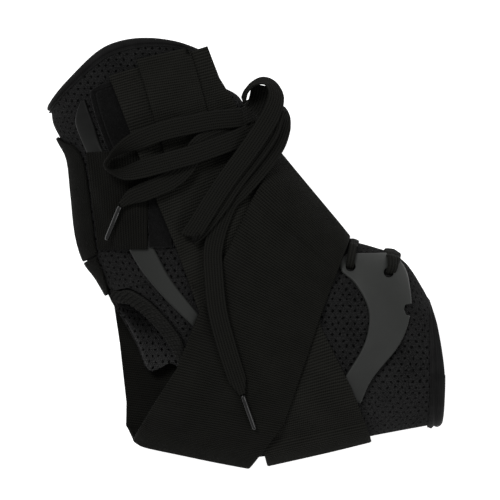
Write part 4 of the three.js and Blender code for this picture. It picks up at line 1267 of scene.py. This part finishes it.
def heel_elastic():
    flats = cross_grid(HEEL_ELASTIC, 30, 15)
    u, v = grid_lengths(np.concatenate([flats, np.zeros((*flats.shape[:2], 1))], 2))
    edge = np.minimum(u, u[:, -1:] - u)
    uneven = 1.3 * ripple(u, v, 11, 8)
    gather = GATHER_DEPTH * np.sin((v + 1.1 * u + uneven) * 2 * math.pi / GATHER_PITCH)
    gather = gather * rounded(edge, 1.6, 0.35)
    half = ELASTIC_THICKNESS / 2 * rounded(edge, 1.6, 0.3)
    middle = -PANEL_WALL / 2
    outer = form_points(flats, UPPER, middle + half + gather)
    inner = form_points(flats, UPPER, middle - half + gather * 0.5)
    piece = shell_mesh("heel_elastic", outer, inner, np.stack([u, v], -1), ELASTIC)
    finish_piece(piece, "heel_elastic", "elastic")


heel_elastic()


def over_rim(turn, reach):
    """The face that a turn round the rim lies on, and how far in, when a whole turn goes in by reach."""
    face = LOWER if turn < 0 else UPPER
    limit = np.arccos(1 - np.minimum(reach / face["round"], 1))
    return face, face["round"] * (1 - np.cos(limit * turn))


def back_wrap(name, rows):
    filled = smooth_rows(rows, ("at", "reach"), 16)
    edge = flat_of(filled["at"])
    distance, inward = nearest_rim(edge, BACK_LINE)
    grid = []
    for turn in np.linspace(-1, 1, 61):
        face, inset = over_rim(turn, filled["reach"][:, 0] * LENGTH)
        flats = edge + inward * (inset - distance)[:, None]
        grid.append(form_points(flats, face, LAYER_GAP + KNIT_BAND / 2))
    piece = sheet_mesh(name, np.stack(grid, 1), KNIT_BAND, KNIT)
    finish_piece(piece, name, "webbing")


back_wrap("back_band", BACK_BAND)
back_wrap("achilles_edge", ACHILLES)


def plate_on(node, face, rows, per, columns, material):
    flats = cross_grid(rows, per, columns)
    level = LAYER_GAP + PLATE / 2
    grid = np.concatenate([flats, level_height(flats, face, level)[..., None]], -1)
    piece = sheet_mesh(node, grid, PLATE, material, edge=0.7)
    finish_piece(piece, node, "plastic")
    return piece


def cut(piece, cutters):
    """Cuts pieces of mesh out of a piece, for good."""
    for cutter in cutters:
        modifier = piece.modifiers.new("cut", "BOOLEAN")
        modifier.operation = "DIFFERENCE"
        modifier.solver = "EXACT"
        modifier.object = cutter
    bpy.context.view_layer.update()
    graph = bpy.context.evaluated_depsgraph_get()
    data = bpy.data.meshes.new_from_object(piece.evaluated_get(graph))
    piece.modifiers.clear()
    old = piece.data
    piece.data = data
    bpy.data.meshes.remove(old)
    for cutter in cutters:
        bpy.data.objects.remove(cutter, do_unlink=True)


def cutter(outline, face):
    """An upright prism over a flat outline, through one side of the brace."""
    sides = len(outline)
    low, high = sorted((RIM_HEIGHT, RIM_HEIGHT + face["up"] * 60))
    points = [(x, y, low) for x, y in outline] + [(x, y, high) for x, y in outline]
    faces = [tuple(range(sides))[::-1], tuple(range(sides, 2 * sides))]
    faces += [(i, (i + 1) % sides, sides + (i + 1) % sides, sides + i) for i in range(sides)]
    prism = build_mesh("cutter", points, faces, np.zeros((len(points), 2)), SHADED_PLATE_PLASTIC)
    prism.location = SHIFT
    return prism


def circle(centre, radius, count=32):
    turns = np.linspace(0, 2 * math.pi, count, endpoint=False)
    return [(centre[0] + radius * math.cos(t), centre[1] + radius * math.sin(t)) for t in turns]


def instep_plate(node, face):
    piece = plate_on(node, face, INSTEP, 8, 40, SHADED_PLATE_PLASTIC)
    outlines = [circle(flat_of(eyelet), EYELET_RADIUS) for eyelet in EYELETS] + [flat_of(NOTCH)]
    cut(piece, [cutter(outline, face) for outline in outlines])


instep_plate("instep_plate_near", UPPER)
instep_plate("instep_plate_far", LOWER)
add_layer(INSTEP, PLATE + LAYER_GAP)


def strand(index, grid):
    name = "lace_cross_" + str(index)
    piece = sheet_mesh(name, np.array(grid), LACE_THICKNESS, LACE, edge=0.9)
    finish_piece(piece, name, "lace")


def lace_cross(index, row):
    """A short strand of lace over the front, from one face to the other."""
    edge = place(row, "front")
    distance, inward = (a[0] for a in nearest_rim(edge[None], FRONT_LINE))
    along = np.array([-inward[1], inward[0]])
    sides = np.linspace(-0.5, 0.5, 15)
    grid = []
    for turn in np.linspace(-1, 1, 45):
        face, inset = over_rim(turn, row["reach"] * LENGTH)
        shift = (sides + row["skew"] * turn) * CROSS_WIDTH
        flats = edge + inward * (inset - distance) + along * shift[:, None]
        grid.append(form_points(flats, face, stack_under(flats) + LACE_THICKNESS / 2))
    strand(index, grid)


def eyelet_strand(index, row):
    """A strand that comes up out of one eyelet, over the front and down into the eyelet behind."""
    over = place(row, "over")
    run = place(row, "hole") - over
    length = np.linalg.norm(run)
    run = run / length
    side_way = np.array([-run[1], run[0]])
    sides = np.linspace(-0.5, 0.5, 17)
    grid = []
    for turn in np.linspace(-1, 1, 61):
        face, inset = over_rim(turn, length)
        width = mix(row["wide"], row["narrow"], smoothstep(abs(turn), 0.35, 1))
        flats = over + run * inset + side_way * (sides * width)[:, None]
        on_plate = smoothstep(inset, row["plate"] - 1.5, row["plate"] + 1)
        lift = LAYER_GAP + on_plate * (PLATE + LAYER_GAP) - 0.9 * (1 - smoothstep(inset, 0.5, 2.5))
        sink = 3.4 * smoothstep(inset, length - 1.7, length + 0.3)
        bow = 0.5 * (1 - (2 * sides) ** 2)
        grid.append(form_points(flats, face, lift + LACE_THICKNESS / 2 + bow - sink))
    strand(index, grid)


for index, row in enumerate(LACE_CROSSES, 1):
    lace_cross(index, row)
for index, row in enumerate(EYELET_STRANDS, len(LACE_CROSSES) + 1):
    eyelet_strand(index, row)

plate_on("stay_near", UPPER, STAY, 14, 14, SHADED_STAY_PLASTIC)
plate_on("stay_far", LOWER, STAY, 14, 14, SHADED_STAY_PLASTIC)


def resampled(grid, pitch):
    """The same surface with rows an even step apart along it."""
    run = np.concatenate([[0], np.linalg.norm(np.diff(grid, axis=0), axis=2).mean(1).cumsum()])
    wanted = np.linspace(0, run[-1], max(2, int(run[-1] / pitch)))
    return spline(grid, np.interp(wanted, run, np.arange(len(run))))


def strap(name, rows, span, thickness, material, rib, seed):
    """A webbing strap whose woven ribs are part of its surface."""
    base = laid_grid(rows, span, thickness)
    grid = resampled(base, rib["pitch"] / RIBS_SHOWN)
    u, v = grid_lengths(grid)
    to_side = np.minimum(u, u[:, -1:] - u)
    half = thickness / 2 * rounded(to_side, 0.9, 0.35)
    weave = rib["depth"] * (np.abs(np.sin(v * math.pi / rib["pitch"])) - 0.6) * smoothstep(to_side, 0.4, 1.8)
    normal = grid_normals(grid)
    normal = normal * np.where(normal[:, :, 2:] < -2, -1, 1)
    sway = 0.2 * ripple(u, v, 30, seed) * (1 - (grid[..., 2] < 3))
    outer = grid + normal * (sway + half + weave)[..., None]
    inner = grid + normal * (sway - half - weave * 0.5)[..., None]
    piece = shell_mesh(name, outer, inner, np.stack([u, v], -1), material)
    finish_piece(piece, name, "webbing")


def pad(name, rows, thickness, seed):
    """A fuzzy pad with a raised, stitched border."""
    span = np.linalg.norm(place(rows[0], "left") - place(rows[0], "right"))
    grid = resampled(laid_grid(rows, span, thickness, PAD_STEP, PAD_COLUMN), PAD_COLUMN)
    u, v = grid_lengths(grid)
    corner = PAD_CORNER * np.exp(-(u + v) / PAD_CORNER)
    middle = grid[len(grid) // 2, grid.shape[1] // 2]
    grid = grid - corner[..., None] * outwards(grid[0, 0], middle)
    to_edge = np.minimum(np.minimum(u, u[:, -1:] - u), np.minimum(v, v[-1:] - v))
    half = thickness / 2 * rounded(to_edge, 0.8, 0.3)
    border = 0.35 * (1 - smoothstep(to_edge, 1.6, 2.2)) - 0.9 * bell((to_edge - PAD_BORDER) / 0.55)
    tufts = np.random.default_rng(seed).normal(0, 0.09, u.shape) * (to_edge > PAD_BORDER)
    normal = grid_normals(grid)
    outer = grid + normal * (half + border + tufts)[..., None]
    inner = grid - normal * half[..., None]
    piece = shell_mesh(name, outer, inner, np.stack([u, v], -1), FUZZ)
    finish_piece(piece, name, "fastening_pad")


pad("loop_pad", LOOP_PAD, PAD, 21)
add_layer(STAY, PLATE + LAYER_GAP)
add_layer(HEEL_ELASTIC, (ELASTIC_THICKNESS - PANEL_WALL) / 2 + GATHER_DEPTH)
add_layer(LOOP_PAD, PAD + LAYER_GAP)

FINE = dict(pitch=1.15, depth=0.16)
COARSE = dict(pitch=1.3, depth=0.2)
strap("cuff_strap", CUFF_STRAP, 47, BAND, WEBBING_BAND, dict(pitch=1.2, depth=0.12), 31)
pad("cuff_hook_tab", CUFF_HOOK, BAND, 22)
add_layer(CUFF_STRAP, BAND + LAYER_GAP)
add_layer(CUFF_HOOK, BAND + LAYER_GAP)
strap("arch_strap", ARCH_STRAP, 52, WEBBING, WEBBING_ARCH, COARSE, 32)
add_layer(ARCH_STRAP, WEBBING + LAYER_GAP)
strap("strap_tab", STRAP_TAB, 26, WEBBING, WEBBING_TAB, FINE, 33)
add_layer(STRAP_TAB, WEBBING + LAYER_GAP)
strap("heel_strap", HEEL_STRAP, 54, WEBBING, WEBBING_HEEL, FINE, 34)


# Floor and light
def stage():
    data = bpy.data.meshes.new("floor")
    half = 2.0
    corners = [(-half, -half, 0), (half, -half, 0), (half, half, 0), (-half, half, 0)]
    data.from_pydata(corners, [], [(0, 1, 2, 3)])
    material = bpy.data.materials.new("floor")
    material.use_nodes = True
    shader = material.node_tree.nodes["Principled BSDF"]
    shader.inputs["Base Color"].default_value = (0.93, 0.93, 0.93, 1)
    shader.inputs["Roughness"].default_value = 1.0
    shader.inputs["Specular IOR Level"].default_value = 0.0
    shader.inputs["Emission Color"].default_value = (1, 1, 1, 1)
    shader.inputs["Emission Strength"].default_value = 0.6
    data.materials.append(material)
    add_object("floor", data)


def area_light(name, location, size, watts):
    data = bpy.data.lights.new(name, "AREA")
    data.shape = "DISK"
    data.size = size
    data.energy = watts
    light = add_object(name, data)
    light.location = location
    light.rotation_euler = (-Vector(location)).to_track_quat("-Z", "Y").to_euler()


def lights():
    world = bpy.data.worlds.new("studio")
    bpy.context.scene.world = world
    world.use_nodes = True
    world.node_tree.nodes["Background"].inputs["Color"].default_value = (1, 1, 1, 1)
    world.node_tree.nodes["Background"].inputs["Strength"].default_value = 0.55
    area_light("key", (-0.6, 0.8, 1.5), 0.6, 19)
    area_light("fill", (1.0, -0.5, 1.3), 1.0, 8)
    bpy.context.scene.view_settings.view_transform = "Standard"


stage()
lights()
